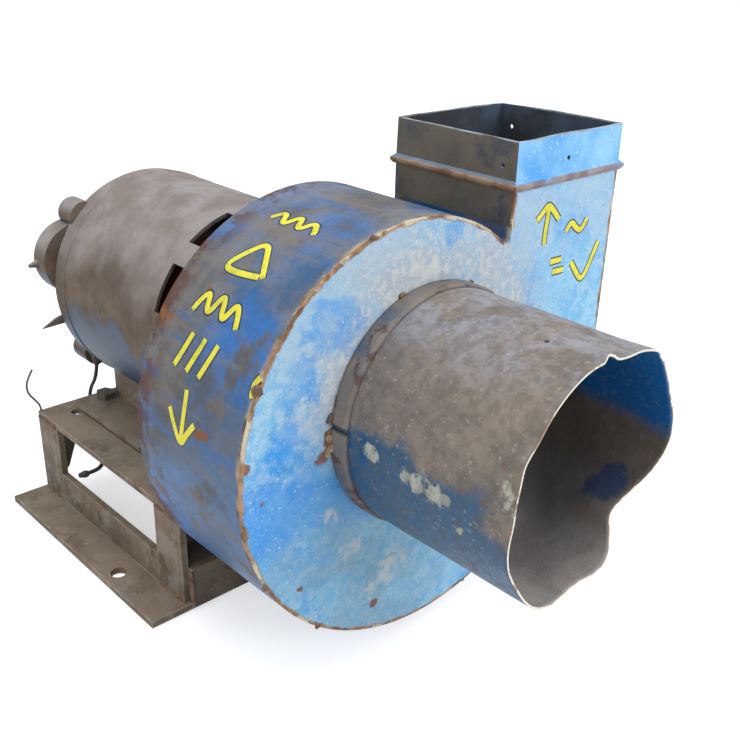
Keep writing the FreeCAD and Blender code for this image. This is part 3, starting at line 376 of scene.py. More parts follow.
# %% Distance from the casing's outline
SPIRAL_START = 112 * MM
SPIRAL_GROWTH = 0.2125 * MM
SPIRAL_START_ANGLE = 54
SPIRAL_DROP = 4.5 * MM
DUCT_LEFT = 70 * MM
DUCT_RIGHT = 177 * MM
DUCT_BACK = 104 * MM
# the outline counts as duct past these places, and as tongue below these heights
DUCT_FROM_X = (64 * MM, 66 * MM)
DUCT_FROM_Z = (30 * MM, 32 * MM)
TONGUE_HEIGHTS = (95 * MM, 85 * MM)

outline, given, result = new_group("outline", [("Position", "Vector", None)], ["Gap"])
axes = put(outline, "SeparateXYZ", {0: given["Position"]}).outputs
over_centre = reckon(outline, "ADD", axes["Z"], SPIRAL_DROP)
turned = reckon(outline, "DEGREES", reckon(outline, "ARCTAN2", over_centre, axes["X"]))
angle = reckon(outline, "WRAP", turned, SPIRAL_START_ANGLE + 360, SPIRAL_START_ANGLE)
grown = reckon(outline, "MULTIPLY", reckon(outline, "SUBTRACT", angle, SPIRAL_START_ANGLE),
               SPIRAL_GROWTH)
square = reckon(outline, "MULTIPLY_ADD", over_centre, over_centre,
                reckon(outline, "MULTIPLY", axes["X"], axes["X"]))
spiral_gap = reckon(outline, "SUBTRACT", reckon(outline, "ADD", grown, SPIRAL_START),
                    reckon(outline, "SQRT", square))
duct_left_gap = reckon(outline, "SUBTRACT", axes["X"], DUCT_LEFT)
duct_right_gap = reckon(outline, "SUBTRACT", DUCT_RIGHT, axes["X"])
in_duct = reckon(outline, "MULTIPLY", rise(outline, axes["X"], *DUCT_FROM_X),
                 rise(outline, axes["Z"], *DUCT_FROM_Z))
below_tongue = rise(outline, axes["Z"], *TONGUE_HEIGHTS)
duct_gap = reckon(outline, "MINIMUM", duct_right_gap,
                  reckon(outline, "ADD", duct_left_gap, below_tongue))
gap = put(outline, "Mix", {0: in_duct, 2: spiral_gap, 3: duct_gap}).outputs[0]
outline.links.new(gap, result["Gap"])
print("outline group ready")

# %% [markdown]
# ## A finish, coat by coat
# The class below is a small palette. It starts a material with a base colour, lays coats
# over it through masks, and joins the sum to the shader: colour to Base Color, dullness to
# Roughness, and the coats' thickness with the grit to a Bump node.

# %% The finish class
class Finish:
    def __init__(self, name, base, roughness=0.5, metallic=0.0):
        self.material = bpy.data.materials.new(name)
        self.material.use_nodes = True
        self.tree = self.material.node_tree
        self.shader = self.tree.nodes["Principled BSDF"]
        self.shader.inputs["Metallic"].default_value = metallic
        self.place = put(self.tree, "TexCoord").outputs["Object"]
        axes = put(self.tree, "SeparateXYZ", {0: self.place}).outputs
        self.across, self.along, self.up = axes["X"], axes["Y"], axes["Z"]
        normal = put(self.tree, "NewGeometry").outputs["Normal"]
        self.facing = put(self.tree, "SeparateXYZ", {0: normal}).outputs
        self.colour = base
        self.roughness = roughness
        self.height = None

    def mask(self, group, **inputs):
        inputs["Position"] = self.place
        return put(self.tree, "Group", inputs, node_tree=group).outputs[0]

    def stretched(self, scale, threshold, softness, seed, stretch):
        """Patches that are drawn out along an axis, as runs and wipe marks are."""
        mapped = put(self.tree, "Mapping", {"Vector": self.place, "Scale": stretch})
        return put(self.tree, "Group",
                   {"Position": mapped.outputs[0], "Scale": scale, "Threshold": threshold,
                    "Softness": softness, "Seed": seed}, node_tree=patches).outputs[0]

    def patch(self, scale, threshold, softness=0.05, seed=0.0):
        return self.mask(patches, Scale=scale, Threshold=threshold, Softness=softness, Seed=seed)

    def spots(self, marks, ragged=0.012):
        """One mask from several (place, radius) marks."""
        whole = 0.0
        for place, radius in marks:
            one = self.mask(spot, Centre=tuple(place), Radius=radius, Ragged=ragged)
            whole = reckon(self.tree, "MAXIMUM", whole, one)
        return whole

    def rise(self, value, low, high):
        return rise(self.tree, value, low, high)

    def both(self, first, second):
        return reckon(self.tree, "MULTIPLY", first, second)

    def either(self, first, second):
        return reckon(self.tree, "MAXIMUM", first, second)

    def wavering(self, value, scale, swing, seed):
        """A value whose level lines wander by up to the swing."""
        return reckon(self.tree, "MULTIPLY_ADD", self.patch(scale, 0.5, 0.25, seed), swing, value)

    def mottle(self, scale, dark, pale, seed=0.0):
        return blend_colours(self.tree, self.patch(scale, 0.5, 0.16, seed), dark, pale)

    def coat(self, mask, colour, roughness, strength=1.0, thickness=0.0):
        shown = self.both(mask, strength)
        self.colour = blend_colours(self.tree, shown, self.colour, colour)
        mixed = put(self.tree, "Mix", {0: shown, 2: self.roughness, 3: roughness})
        self.roughness = mixed.outputs[0]
        if thickness:
            self.pile(self.both(shown, thickness))

    def pile(self, layer):
        """Add a layer to the height that the bump is made from."""
        if self.height is not None:
            layer = reckon(self.tree, "ADD", self.height, layer)
        self.height = layer

    def done(self, grain=900.0, depth=0.25, pits=0.3, distance=0.0006):
        self.pile(self.both(self.mask(grit, Scale=grain, Pits=pits), depth))
        bump = put(self.tree, "Bump", {"Height": self.height, "Distance": distance})
        self.tree.links.new(bump.outputs[0], self.shader.inputs["Normal"])
        for socket, value in (("Base Color", self.colour), ("Roughness", self.roughness)):
            if isinstance(value, bpy.types.NodeSocket):
                self.tree.links.new(value, self.shader.inputs[socket])
            else:
                self.shader.inputs[socket].default_value = value
        return self.material


def dress(material, *names):
    for name in names:
        node = nodes[name]
        node.data.materials.clear()
        node.data.materials.append(material)


RUST = screen(132, 76, 40)
DARK_RUST = screen(84, 54, 38)
CREAM = screen(214, 205, 178)
BROWN_DIRT = screen(112, 98, 82)
print("finish class ready")

# %% [markdown]
# ## Front plate
# The plate that faces the air is a bright light blue. Pale dust clings to it in a fine
# speckle, the upper part is rubbed grey by hands and rain, and orange rust breaks through
# in chips. The edge has lost its paint: a rusty line with cream filler runs along it.

# %% Front plate finish
front = Finish("casing_front", screen(20, 138, 214), 0.42)
front.coat(front.patch(7, 0.46, 0.14, 1.0), screen(108, 182, 222), 0.6, 0.85)
front.coat(front.patch(30, 0.50, 0.10, 2.0), screen(146, 200, 228), 0.7, 0.5)
front.coat(front.both(front.patch(9, 0.46, 0.10, 2.5), front.patch(140, 0.50, 0.06, 2.7)),
           screen(186, 214, 228), 0.8, 0.5, 0.2)
front.coat(front.patch(5, 0.56, 0.05, 2.9), screen(0, 132, 222), 0.45, 0.6)
above_tube = front.rise(front.up, 0.0, 0.085)
front.coat(front.both(above_tube, front.patch(11, 0.43, 0.12, 3.0)),
           screen(166, 190, 210), 0.8, 0.7)
AZURE_PIXELS = [((335, 325), 24), ((303, 385), 18), ((285, 450), 15), ((455, 232), 12),
                ((300, 560), 14)]
DUST_RING = [((0, 0, 0.012), 0.125)]
near_tube = front.both(front.spots(DUST_RING, 0.05), front.rise(front.up, -0.03, 0.03))
front.coat(front.both(near_tube, front.patch(22, 0.42, 0.12, 3.2)),
           screen(172, 180, 188), 0.85, 0.85, 0.1)
front.coat(front.both(near_tube, front.patch(190, 0.52, 0.05, 3.3)),
           screen(208, 208, 206), 0.85, 0.7, 0.3)
azure = front.spots(marks_on("front_side_plate", AZURE_PIXELS), 0.05)
front.coat(front.both(azure, front.patch(20, 0.47, 0.16, 3.4)), screen(4, 146, 228), 0.42, 0.7)
front.coat(front.both(front.rise(front.up, -0.02, -0.10), front.patch(18, 0.50, 0.10, 3.5)),
           screen(136, 168, 186), 0.8, 0.6)
front.coat(front.patch(420, 0.61, 0.035, 4.0), screen(222, 232, 238), 0.85, 0.6, 0.3)
front.coat(front.patch(160, 0.66, 0.02, 5.0), screen(92, 110, 130), 0.8, 0.5)
front.coat(front.patch(46, 0.70, 0.012, 6.0), RUST, 0.9, 0.9, -0.3)
WORN_PIXELS = [((392, 565), 16), ((368, 590), 9), ((425, 268), 15), ((350, 545), 10),
               ((395, 300), 10), ((330, 520), 8)]
worn = front.spots(marks_on("front_side_plate", WORN_PIXELS), 0.03)
front.coat(front.both(worn, front.patch(90, 0.48, 0.08, 7.0)),
           screen(204, 210, 208), 0.85, 0.8, 0.2)
CHIP_PIXELS = [((322, 458), 6), ((374, 603), 3.5), ((246, 470), 4), ((328, 440), 5),
               ((262, 505), 2.5), ((300, 590), 2.5), ((318, 462), 4)]
chipped = front.spots(marks_on("front_side_plate", CHIP_PIXELS), 0.01)
front.coat(chipped, RUST, 0.9, 0.9, -0.3)

# the rusty line wanders by up to RIM_WANDER and is RIM_WIDTH wide
RIM_WANDER = 2.2 * MM
RIM_WIDTH = 1.8 * MM
gap = front.mask(outline)
rim_wave = reckon(front.tree, "MULTIPLY_ADD", front.patch(70, 0.5, 0.2, 8.0), -RIM_WANDER, gap)
front.coat(front.rise(rim_wave, RIM_WIDTH, 0.2 * MM),
           front.mottle(55, screen(104, 72, 50), screen(178, 142, 106)), 0.9)
front.coat(front.both(front.rise(rim_wave, 1 * MM, 0.0), front.patch(24, 0.57, 0.03, 9.0)),
           CREAM, 0.8, 0.8, 0.3)
dress(front.done(700, 0.3), "front_side_plate")
print("front plate dressed")

# %% [markdown]
# ## Wrapper and back plate
# The rolled strip is a deeper blue under years of grey-brown dirt that ran and was wiped.
# Its top is dusty, its underside nearly clean. Rust sits along both seams, because the welds
# there were never painted well.

# %% Wrapper finish
def rolled_sheet(name):
    """The coats of the rolled strip, for every piece that is cut from it."""
    sheet = Finish(name, screen(8, 74, 120), 0.36)
    sheet.coat(sheet.patch(8, 0.54, 0.09, 11.0), screen(16, 102, 176), 0.4, 0.9)
    topside = sheet.rise(sheet.facing["Z"], -0.3, 0.8)
    lowered = reckon(sheet.tree, "MULTIPLY_ADD", sheet.patch(11, 0.5, 0.2, 11.5), 0.07, sheet.up)
    above_belly = sheet.rise(lowered, -0.085, -0.03)
    dirt = sheet.either(sheet.patch(9, 0.52, 0.08, 12.0), sheet.patch(26, 0.56, 0.05, 13.0))
    sheet.coat(sheet.both(dirt, above_belly),
               sheet.mottle(30, screen(72, 70, 66), screen(104, 94, 84), 14.0), 0.75, 0.9, 0.15)
    sheet.coat(sheet.both(topside, sheet.patch(12, 0.51, 0.09, 15.0)),
               screen(122, 124, 130), 0.85, 0.65, 0.15)
    sheet.coat(sheet.both(sheet.stretched(70, 0.56, 0.05, 16.0, (1, 0.14, 1)), above_belly),
               screen(116, 108, 98), 0.8, 0.5)
    sheet.coat(sheet.stretched(90, 0.60, 0.04, 16.2, (1, 0.14, 1)), screen(10, 84, 150), 0.5, 0.6)
    sheet.coat(sheet.patch(230, 0.62, 0.05, 16.5), screen(52, 56, 58), 0.85, 0.35)
    seam_back = sheet.rise(sheet.along, 0.078, 0.102)
    sheet.coat(sheet.both(seam_back, sheet.patch(30, 0.50, 0.05, 17.0)), DARK_RUST, 0.9, 0.9, 0.2)
    seam_front = sheet.rise(sheet.along, 0.0055, 0.0015)
    sheet.coat(sheet.both(seam_front, sheet.patch(60, 0.44, 0.08, 18.0)),
               sheet.mottle(80, DARK_RUST, screen(186, 168, 132), 19.0), 0.9, 0.95)
    sheet.coat(sheet.patch(44, 0.66, 0.02, 20.0), RUST, 0.9, 0.9, -0.3)
    return sheet


wrapper = rolled_sheet("casing_wrapper")
dress(wrapper.done(600, 0.3), "scroll_wrapper", "back_side_plate")
print("wrapper dressed")

# %% [markdown]
# ## Motor
# The motor's steel shell is dark blue, but settled dust makes its top lilac-grey and its
# flanks brown. The dust thins out below, where the blue shows with a few rust chips.

# %% Motor finish
motor = Finish("motor_paint", screen(8, 48, 78), 0.45)
motor.coat(motor.patch(40, 0.63, 0.02, 31.0), RUST, 0.9, 0.8, -0.2)
flank = motor.wavering(motor.facing["Z"], 16, 0.45, 32.0)
motor.coat(motor.rise(flank, 0.04, 0.22),
           motor.mottle(22, screen(84, 70, 56), screen(116, 100, 84), 33.0), 0.85, 0.95, 0.2)
motor.coat(motor.rise(flank, 0.40, 1.0),
           motor.mottle(30, screen(126, 116, 110), screen(152, 146, 146), 34.0), 0.9, 0.95, 0.1)
motor.coat(motor.patch(75, 0.69, 0.015, 35.0), screen(70, 66, 66), 0.8, 0.7, -0.4)
motor.coat(motor.mask(edges, Width=1.5 * MM, Ragged=0.25), screen(100, 96, 98), 0.7, 0.35)
dress(motor.done(500, 0.3, 0.25), "motor_shell", "rear_end_bell", "drive_end_bell",
      "rear_vent_plug")
print("motor dressed")

# %% [markdown]
# ## Base
# The base of angle iron was painted once; now it is a dusty brown, rubbed to pale metal and
# rust along its edges. The edge mask compares the true normal with a softened one, so it
# finds corners on any piece without its vertices.

# %% Base finish
base = Finish("base_dirt", screen(92, 80, 68), 0.7)
base.coat(base.patch(14, 0.5, 0.10, 41.0), screen(120, 104, 86), 0.8, 0.9)
base.coat(base.patch(48, 0.54, 0.06, 42.0), screen(140, 132, 120), 0.75, 0.6, 0.15)
base.coat(base.patch(26, 0.60, 0.04, 43.0), screen(74, 58, 46), 0.9, 0.8)
base.coat(base.both(base.rise(base.facing["Z"], 0.5, 0.9), base.patch(20, 0.45, 0.1, 44.0)),
          screen(138, 124, 106), 0.85, 0.7, 0.2)
base.coat(base.mask(edges, Width=2 * MM, Ragged=0.3), base.mottle(60, RUST, CREAM, 45.0), 0.6, 0.6)
base.coat(base.patch(600, 0.66, 0.02, 46.0), screen(196, 196, 190), 0.3, 0.55, 0.3)
dress(base.done(500, 0.45, 0.4), "table_plate", "left_rail", "right_rail", "front_left_leg",
      "front_right_leg", "rear_left_leg", "rear_right_leg", "motor_foot_plate", "motor_saddle",
      "rear_bent_tab", "front_cross_rail")
print("base dressed")

# %% [markdown]
# ## Metal inside and small parts
# Most of the running gear hides in the casing, yet each piece keeps a finish of its own:
# oily steel for the shaft, dull plate for the wheel, cast aluminium for the fan, laminated
# iron for the cores and varnished copper for the winding.

# %% Metal finishes
def metal(name, colour, roughness, grime, grime_cover, seed, metallic=0.85):
    finish = Finish(name, colour, roughness, metallic)
    finish.coat(finish.patch(120, 0.5, 0.12, seed), colour, roughness + 0.15, 0.8)
    finish.coat(finish.patch(30, grime_cover, 0.08, seed + 1), grime, 0.85, 0.8, 0.1)
    finish.coat(finish.mask(edges, Width=1 * MM, Ragged=0.2), screen(150, 148, 144), 0.35, 0.4)
    return finish.done(900, 0.2, 0.1)


steel = metal("oily_steel", screen(128, 126, 124), 0.35, BROWN_DIRT, 0.58, 51.0)
wheel = metal("wheel_steel", screen(96, 94, 92), 0.5, BROWN_DIRT, 0.46, 53.0, 0.6)
alloy = metal("cast_alloy", screen(150, 150, 148), 0.45, BROWN_DIRT, 0.55, 55.0)
iron = metal("core_iron", screen(84, 80, 78), 0.5, DARK_RUST, 0.56, 57.0, 0.7)
copper = metal("varnished_copper", screen(134, 66, 38), 0.35, screen(60, 30, 20), 0.6, 59.0, 0.5)
bolt_steel = metal("dull_bolt_steel", screen(104, 98, 90), 0.5, BROWN_DIRT, 0.46, 61.0, 0.5)
dress(steel, "motor_shaft", "shaft_key", "hub_set_screw", "front_bearing_inner_ring",
      "rear_bearing_inner_ring", "front_bearing_outer_ring", "rear_bearing_outer_ring",
      "front_bearing_balls", "rear_bearing_balls")
dress(wheel, "impeller_shroud", "impeller_blades", "impeller_backplate", "impeller_hub",
      "hub_rivets")
dress(alloy, "cooling_fan", "rotor_end_rings")
dress(iron, "stator_core", "rotor_core")
dress(copper, "stator_windings")
dress(bolt_steel, "through_bolts", "casing_face_bolts", "foot_bolts", "foot_nuts", "foot_washers")
strand.data.materials.append(bolt_steel)

rubber = Finish("lead_rubber", screen(34, 32, 32), 0.6)
rubber.coat(rubber.patch(60, 0.5, 0.1, 65.0), screen(88, 80, 72), 0.9, 0.7, 0.1)
rubber_finish = rubber.done(1200, 0.2, 0.1)
dress(rubber_finish, "lead_tape", "lead_boot")
motor_wire.data.materials.append(rubber_finish)
print("metal and rubber dressed")

# %% [markdown]
# ## The dented inlet tube
# The real tube is thin sheet rolled round and lapped along its top. Its free end was
# knocked in: one deep dent low on the far side, a shallower one below, and slight bows
# elsewhere. The tube starts as an open cone of even radius, is cut into rings, and then
# each vertex moves by how near it is to each dent. Solidify gives the wall its thickness,
# with one finish outside, one inside and one on the bare rim.

# %% Shape the tube
TUBE_RADIUS = 75 * MM
TUBE_WALL = 1.2 * MM
TUBE_END = -131 * MM
TUBE_ROOT = 3 * MM
TUBE_SIDES = 240
TUBE_RINGS = 60
# angle of the dent's middle, half widths below and above it, push in, pull back, and how
# far it reaches along the tube, in degrees and mm
DENTS = [
    (-46, 22, 42, 22, 13, 95),
    (-92, 28, 30, 8, 6, 70),
    (30, 30, 26, 5, 3, 60),
    (120, 26, 24, -3.5, -1, 60),
    (88, 16, 16, 1.5, -3, 40),
    (66, 7, 7, -1, -2.5, 25),
    (152, 8, 8, -2.5, 0, 30),
    (175, 8, 9, 1.2, 0, 30),
    (-166, 12, 12, -2, 0, 30),
    (98, 3, 3, -1.8, 2, 6),
]
LAP_FROM = 95
LAP_TO = 101
LAP_HEIGHT = 1.0 * MM
NECK_DEPTH = 0.6 * MM
NECK_FROM = -15 * MM
RIPPLE_HEIGHT = 0.5 * MM
# ripple and lap begin this far in front of the plate and are full a little further on
FREE_FROM = 12 * MM
FREE_OVER = 30 * MM


def bell_curve(offset, below, above):
    width = below if offset < 0 else above
    return math.exp(-1.4 * (offset / width) ** 2)


def dented(place):
    radius = math.hypot(place.x, place.z)
    angle = math.degrees(math.atan2(place.z, place.x))
    from_rim = place.y - TUBE_END
    push = pull = 0.0
    for middle, below, above, inward, back, reach in DENTS:
        offset = (angle - middle + 180) % 360 - 180
        fade = max(0.0, 1 - from_rim / (reach * MM))
        share = bell_curve(offset, below, above) * fade * fade * (3 - 2 * fade)
        push += inward * MM * share
        pull += back * MM * share
    ripple = noise.noise(Vector((angle / 14, place.y * 30, 0))) * RIPPLE_HEIGHT
    free = min(1.0, max(0.0, (-place.y - FREE_FROM) / FREE_OVER))
    lap = LAP_HEIGHT if LAP_FROM <= angle <= LAP_TO else 0.0
    necked = min(1.0, max(0.0, (place.y - NECK_FROM) / MM))
    radius += (ripple + lap) * free - push - NECK_DEPTH * necked
    turn = math.radians(angle)
    return Vector((radius * math.cos(turn), place.y + pull, radius * math.sin(turn)))


tube_mesh = bmesh.new()
bmesh.ops.create_cone(tube_mesh, cap_ends=False, segments=TUBE_SIDES, radius1=TUBE_RADIUS,
                      radius2=TUBE_RADIUS, depth=TUBE_ROOT - TUBE_END)
bmesh.ops.rotate(tube_mesh, verts=tube_mesh.verts, cent=(0, 0, 0),
                 matrix=Matrix.Rotation(math.radians(90), 3, "X"))
bmesh.ops.translate(tube_mesh, verts=tube_mesh.verts, vec=(0, (TUBE_ROOT + TUBE_END) / 2, 0))
lengthwise = [edge for edge in tube_mesh.edges
              if abs(edge.verts[0].co.y - edge.verts[1].co.y) > 0.1]
bmesh.ops.subdivide_edges(tube_mesh, edges=lengthwise, cuts=TUBE_RINGS, use_grid_fill=True)
for vertex in tube_mesh.verts:
    vertex.co = dented(vertex.co)
bmesh.ops.recalc_face_normals(tube_mesh, faces=tube_mesh.faces)
if sum(face.normal.dot(Vector((face.calc_center_median().x, 0, face.calc_center_median().z)))
       for face in tube_mesh.faces) < 0:
    bmesh.ops.reverse_faces(tube_mesh, faces=tube_mesh.faces)
for face in tube_mesh.faces:
    face.smooth = True
tube = object_from("inlet_sheet", tube_mesh)
wall = tube.modifiers.new("wall", "SOLIDIFY")
wall.thickness = TUBE_WALL
wall.offset = -1
wall.material_offset = 1
wall.material_offset_rim = 2
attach(tube, "frame")
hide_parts("inlet_tube")
print("tube faces:", len(tube.data.polygons))

# %% [markdown]
# Outside, the tube is dark blue under grey-brown dust, with old filler flaking off in cream
# patches low on its left side. Inside, the blue shows at the top where dust can't lie, and
# the rest is brown soot that is palest at the bottom.

# %% Tube finishes
outside = Finish("inlet_outside", screen(0, 70, 106), 0.42)
outside.coat(outside.patch(14, 0.53, 0.08, 71.0), screen(60, 84, 108), 0.5, 0.7)
dusty = outside.wavering(outside.facing["Z"], 15, 0.4, 72.0)
outside.coat(outside.rise(dusty, 0.18, 0.34),
             outside.mottle(26, screen(108, 99, 90), screen(138, 124, 110), 73.0), 0.82, 0.95, 0.15)
underside = outside.rise(outside.facing["Z"], -0.66, -0.88)
outside.coat(outside.both(underside, outside.patch(30, 0.46, 0.08, 73.5)),
             screen(98, 84, 72), 0.85, 0.9)
crest = outside.rise(outside.facing["Z"], 0.6, 0.98)
outside.coat(outside.both(crest, outside.patch(30, 0.47, 0.1, 74.0)),
             screen(146, 148, 158), 0.85, 0.75)
FLAKE_PIXELS = [((432, 490), 9), ((418, 484), 6), ((372, 455), 5), ((447, 500), 5), ((402, 478), 5),
                ((473, 525), 4), ((507, 492), 6), ((514, 505), 8), ((438, 525), 3), ((458, 532), 3)]
flakes = outside.spots(marks_on("inlet_tube", FLAKE_PIXELS), 0.02)
outside.coat(outside.both(flakes, outside.patch(85, 0.47, 0.03, 75.0)),
             screen(176, 176, 160), 0.8, 0.9, 0.5)
outside.coat(outside.patch(150, 0.52, 0.07, 75.5), screen(84, 78, 72), 0.85, 0.4)
outside.coat(outside.patch(44, 0.68, 0.015, 76.0), RUST, 0.9, 0.8, -0.3)
HOLE_PIXELS = [((547, 343), 2.1), ((586, 355), 1.6), ((430, 291), 1.8)]
holes = outside.spots(marks_on("inlet_tube", HOLE_PIXELS), 0.001)
outside.coat(holes, screen(24, 22, 22), 0.9, 1.0, -0.8)
outside.coat(outside.patch(300, 0.62, 0.04, 77.0), screen(182, 176, 168), 0.85, 0.35)
outside_finish = outside.done(650, 0.35, 0.25)

inside = Finish("inlet_inside", screen(0, 96, 160), 0.38)
roof = inside.wavering(inside.up, 16, -0.009, 81.0)
inside.coat(inside.rise(roof, 0.008, -0.006),
            inside.mottle(18, screen(86, 78, 70), screen(118, 104, 88), 82.0), 0.8)
inside.coat(inside.rise(inside.up, -0.02, -0.062),
            inside.mottle(24, screen(142, 134, 128), screen(172, 166, 160), 83.0), 0.9, 0.9)
inside.coat(inside.patch(260, 0.60, 0.05, 84.0), screen(140, 132, 124), 0.9, 0.35)
# painted shade: a darker blue spot on the inside wall where the deep dent shades it
DENT_SHADE_PATCH = [((0.050, -0.104, -0.031), 0.017)]
inside.coat(inside.spots(DENT_SHADE_PATCH, 0.04), screen(8, 60, 108), 0.5, 0.7)
inside_finish = inside.done(600, 0.5, 0.4)

rim = Finish("bare_rim", screen(226, 220, 202), 0.6)
rim.coat(rim.patch(70, 0.54, 0.04, 86.0), screen(150, 104, 70), 0.85, 0.8)
rim_finish = rim.done(900, 0.2)
for finish in (outside_finish, inside_finish, rim_finish):
    tube.data.materials.append(finish)

collar = Finish("collar_paint", screen(58, 84, 112), 0.5)
collar.coat(collar.patch(24, 0.45, 0.1, 91.0),
            collar.mottle(30, screen(118, 106, 92), screen(140, 128, 114), 92.0), 0.8, 0.85, 0.15)
# darker blue-grey towards the bottom of the collar: partly dirt, partly painted shade under the
# tube
collar.coat(collar.rise(collar.up, 0.01, -0.03), screen(64, 78, 96), 0.7, 0.5)
collar.coat(collar.patch(46, 0.60, 0.03, 93.0), DARK_RUST, 0.9, 0.8)
collar.coat(collar.mask(edges, Width=1.2 * MM, Ragged=0.3), screen(88, 66, 50), 0.8, 0.7)
dress(collar.done(700, 0.3), "inlet_collar")
print("tube and collar dressed")

# %% [markdown]
# ## Outlet
# Above the swaged bead sits a square sleeve of thin sheet. Its sides are slightly bowed and
# its far corner is bent out, so the CAD sleeve is copied, cut finer and pushed about. The
# left side, away from the light, gets an almost black-brown painted shade, the back and right
# faces a painted shade of darker blue, and the inside a near-black painted shade; the front is
# as bright as the plate.

# %% Shape the outlet sleeve
def refined_copy(node_name, step):
    """A merged copy of a CAD mesh, cut by planes at even steps so that it can bend."""
    mesh = bmesh.new()
    mesh.from_mesh(nodes[node_name].data)
    bmesh.ops.remove_doubles(mesh, verts=mesh.verts, dist=1e-6)
    low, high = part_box(node_name)
    for axis in range(3):
        normal = [0, 0, 0]
        normal[axis] = 1
        cuts = int((high[axis] - low[axis]) / step)
        for cut in range(1, cuts):
            point = [0, 0, 0]
            point[axis] = low[axis] + cut * step
            parts = mesh.verts[:] + mesh.edges[:] + mesh.faces[:]
            bmesh.ops.bisect_plane(mesh, geom=parts, plane_co=point, plane_no=normal)
    return mesh


sleeve_mesh = refined_copy("outlet_spigot", 7 * MM)
SLEEVE_MIDDLE = Vector(((DUCT_LEFT + DUCT_RIGHT) / 2, DUCT_BACK / 2, 0))
SLEEVE_FOOT = 121 * MM
SLEEVE_TOP = 148.4 * MM
KNOCK_RADIUS = 12 * MM
KNOCK_OUT = 3.5 * MM
for vertex in sleeve_mesh.verts:
    place = vertex.co
    raised = max(0.0, (place.z - SLEEVE_FOOT) / (SLEEVE_TOP - SLEEVE_FOOT))
    bow = noise.noise(Vector((place.x * 22, place.y * 22, 5))) * 1.6 * MM * raised
    outward = Vector((place.x - SLEEVE_MIDDLE.x, place.y - SLEEVE_MIDDLE.y, 0)).normalized()
    corner = (Vector((place.x, place.y)) - Vector((DUCT_RIGHT, DUCT_BACK))).length
    knock = math.exp(-(corner / KNOCK_RADIUS) ** 2) * raised * raised
    place += outward * (bow + knock * KNOCK_OUT)
    wave = noise.noise(Vector((place.x * 30, place.y * 30, 9))) * 0.9
    place.z += (wave - knock * 1.5) * MM * raised
bmesh.ops.recalc_face_normals(sleeve_mesh, faces=sleeve_mesh.faces)
sleeve = object_from("outlet_sleeve", sleeve_mesh)
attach(sleeve, "frame")
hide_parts("outlet_spigot")
print("sleeve faces:", len(sleeve.data.polygons))

# %% Outlet finishes
def paint_shade_on_side(finish, side):
    """Lay painted shade, brown and black-blue, on the side that faces away from the light."""
    finish.coat(side, finish.mottle(22, screen(70, 68, 62), screen(100, 92, 80), 104.0),
                0.6, 1.0, 0.1)
    finish.coat(finish.both(side, finish.patch(30, 0.58, 0.05, 105.0)),
                screen(40, 56, 74), 0.5, 0.7)


# heights between which the bead's rust fades in and out, and the bare rim begins
BEAD_FOOT = (116.5 * MM, 119 * MM)
BEAD_HEAD = (123.5 * MM, 122.2 * MM)
BARE_RIM = (147.4 * MM, 148 * MM)
# the inside gets near-black painted shade: deeper than the skin of the duct's walls, or where a
# wall faces the middle
SKIN_FROM = 1.2 * MM
SKIN_TO = 1.45 * MM
INWARD = (-5 * MM, -15 * MM)
duct = Finish("duct_paint", screen(72, 158, 226), 0.42)
duct.coat(duct.patch(16, 0.5, 0.12, 101.0), screen(150, 202, 240), 0.6, 0.8)
duct.coat(duct.patch(300, 0.60, 0.04, 102.0), screen(214, 226, 236), 0.85, 0.5, 0.2)
# painted shade: the left faces, away from the light, turn black-brown
shaded_left_faces = duct.rise(duct.facing["X"], -0.4, -0.8)
# painted shade: the back and right faces, turned from the light, get a darker blue
shaded_back_faces = duct.either(duct.rise(duct.facing["Y"], 0.4, 0.8), duct.rise(duct.facing["X"], 0.4, 0.8))
duct.coat(shaded_back_faces, duct.mottle(20, screen(40, 88, 136), screen(96, 112, 124), 103.0), 0.6)
paint_shade_on_side(duct, shaded_left_faces)
on_bead = duct.both(duct.rise(duct.up, *BEAD_FOOT), duct.rise(duct.up, *BEAD_HEAD))
duct.coat(duct.both(on_bead, duct.patch(50, 0.42, 0.06, 106.0)),
          duct.mottle(60, screen(122, 82, 52), screen(168, 140, 108), 107.0), 0.85, 0.85, 0.2)
in_left = duct.rise(duct.across, DUCT_LEFT + SKIN_FROM, DUCT_LEFT + SKIN_TO)
in_right = duct.rise(duct.across, DUCT_RIGHT - SKIN_FROM, DUCT_RIGHT - SKIN_TO)
in_front = duct.rise(duct.along, SKIN_FROM, SKIN_TO)
in_back = duct.rise(duct.along, DUCT_BACK - SKIN_FROM, DUCT_BACK - SKIN_TO)
flat_inside_shade = duct.both(duct.both(in_left, in_right), duct.both(in_front, in_back))
sideways = duct.both(reckon(duct.tree, "SUBTRACT", duct.across, SLEEVE_MIDDLE.x), duct.facing["X"])
outwards = reckon(duct.tree, "MULTIPLY_ADD", duct.facing["Y"],
                  reckon(duct.tree, "SUBTRACT", duct.along, SLEEVE_MIDDLE.y), sideways)
inside_shade = duct.either(flat_inside_shade, duct.rise(outwards, *INWARD))
# painted shade inside the sleeve, near black
duct.coat(inside_shade, duct.mottle(18, screen(38, 40, 44), screen(62, 78, 98), 108.0), 0.75)
duct.coat(duct.rise(duct.up, *BARE_RIM),
          duct.mottle(40, screen(118, 90, 66), screen(176, 196, 206), 109.0), 0.7, 0.85)
duct.coat(duct.patch(48, 0.69, 0.012, 110.0), RUST, 0.9, 0.9, -0.2)
sleeve.data.materials.append(duct.done(650, 0.3))

throat = rolled_sheet("throat_wall")
# painted shade: the throat's left faces, away from the light, turn black-brown
paint_shade_on_side(throat, throat.rise(throat.facing["X"], -0.6, -0.9))
dress(throat.done(600, 0.3), "outlet_throat_plate")
print("outlet dressed")

# %% [markdown]
# ## Painted marks
# Somebody marked this fan with a yellow paint pen. Plain strokes stand in for what was
# written: waves, a zigzag, bars and arrows that say nothing but show which way the wheel
# turns and the air leaves. Each stroke is a round NURBS curve, made a mesh and then pressed
# flat on its surface. A wider dark stroke under it is the grime the pen wiped aside.

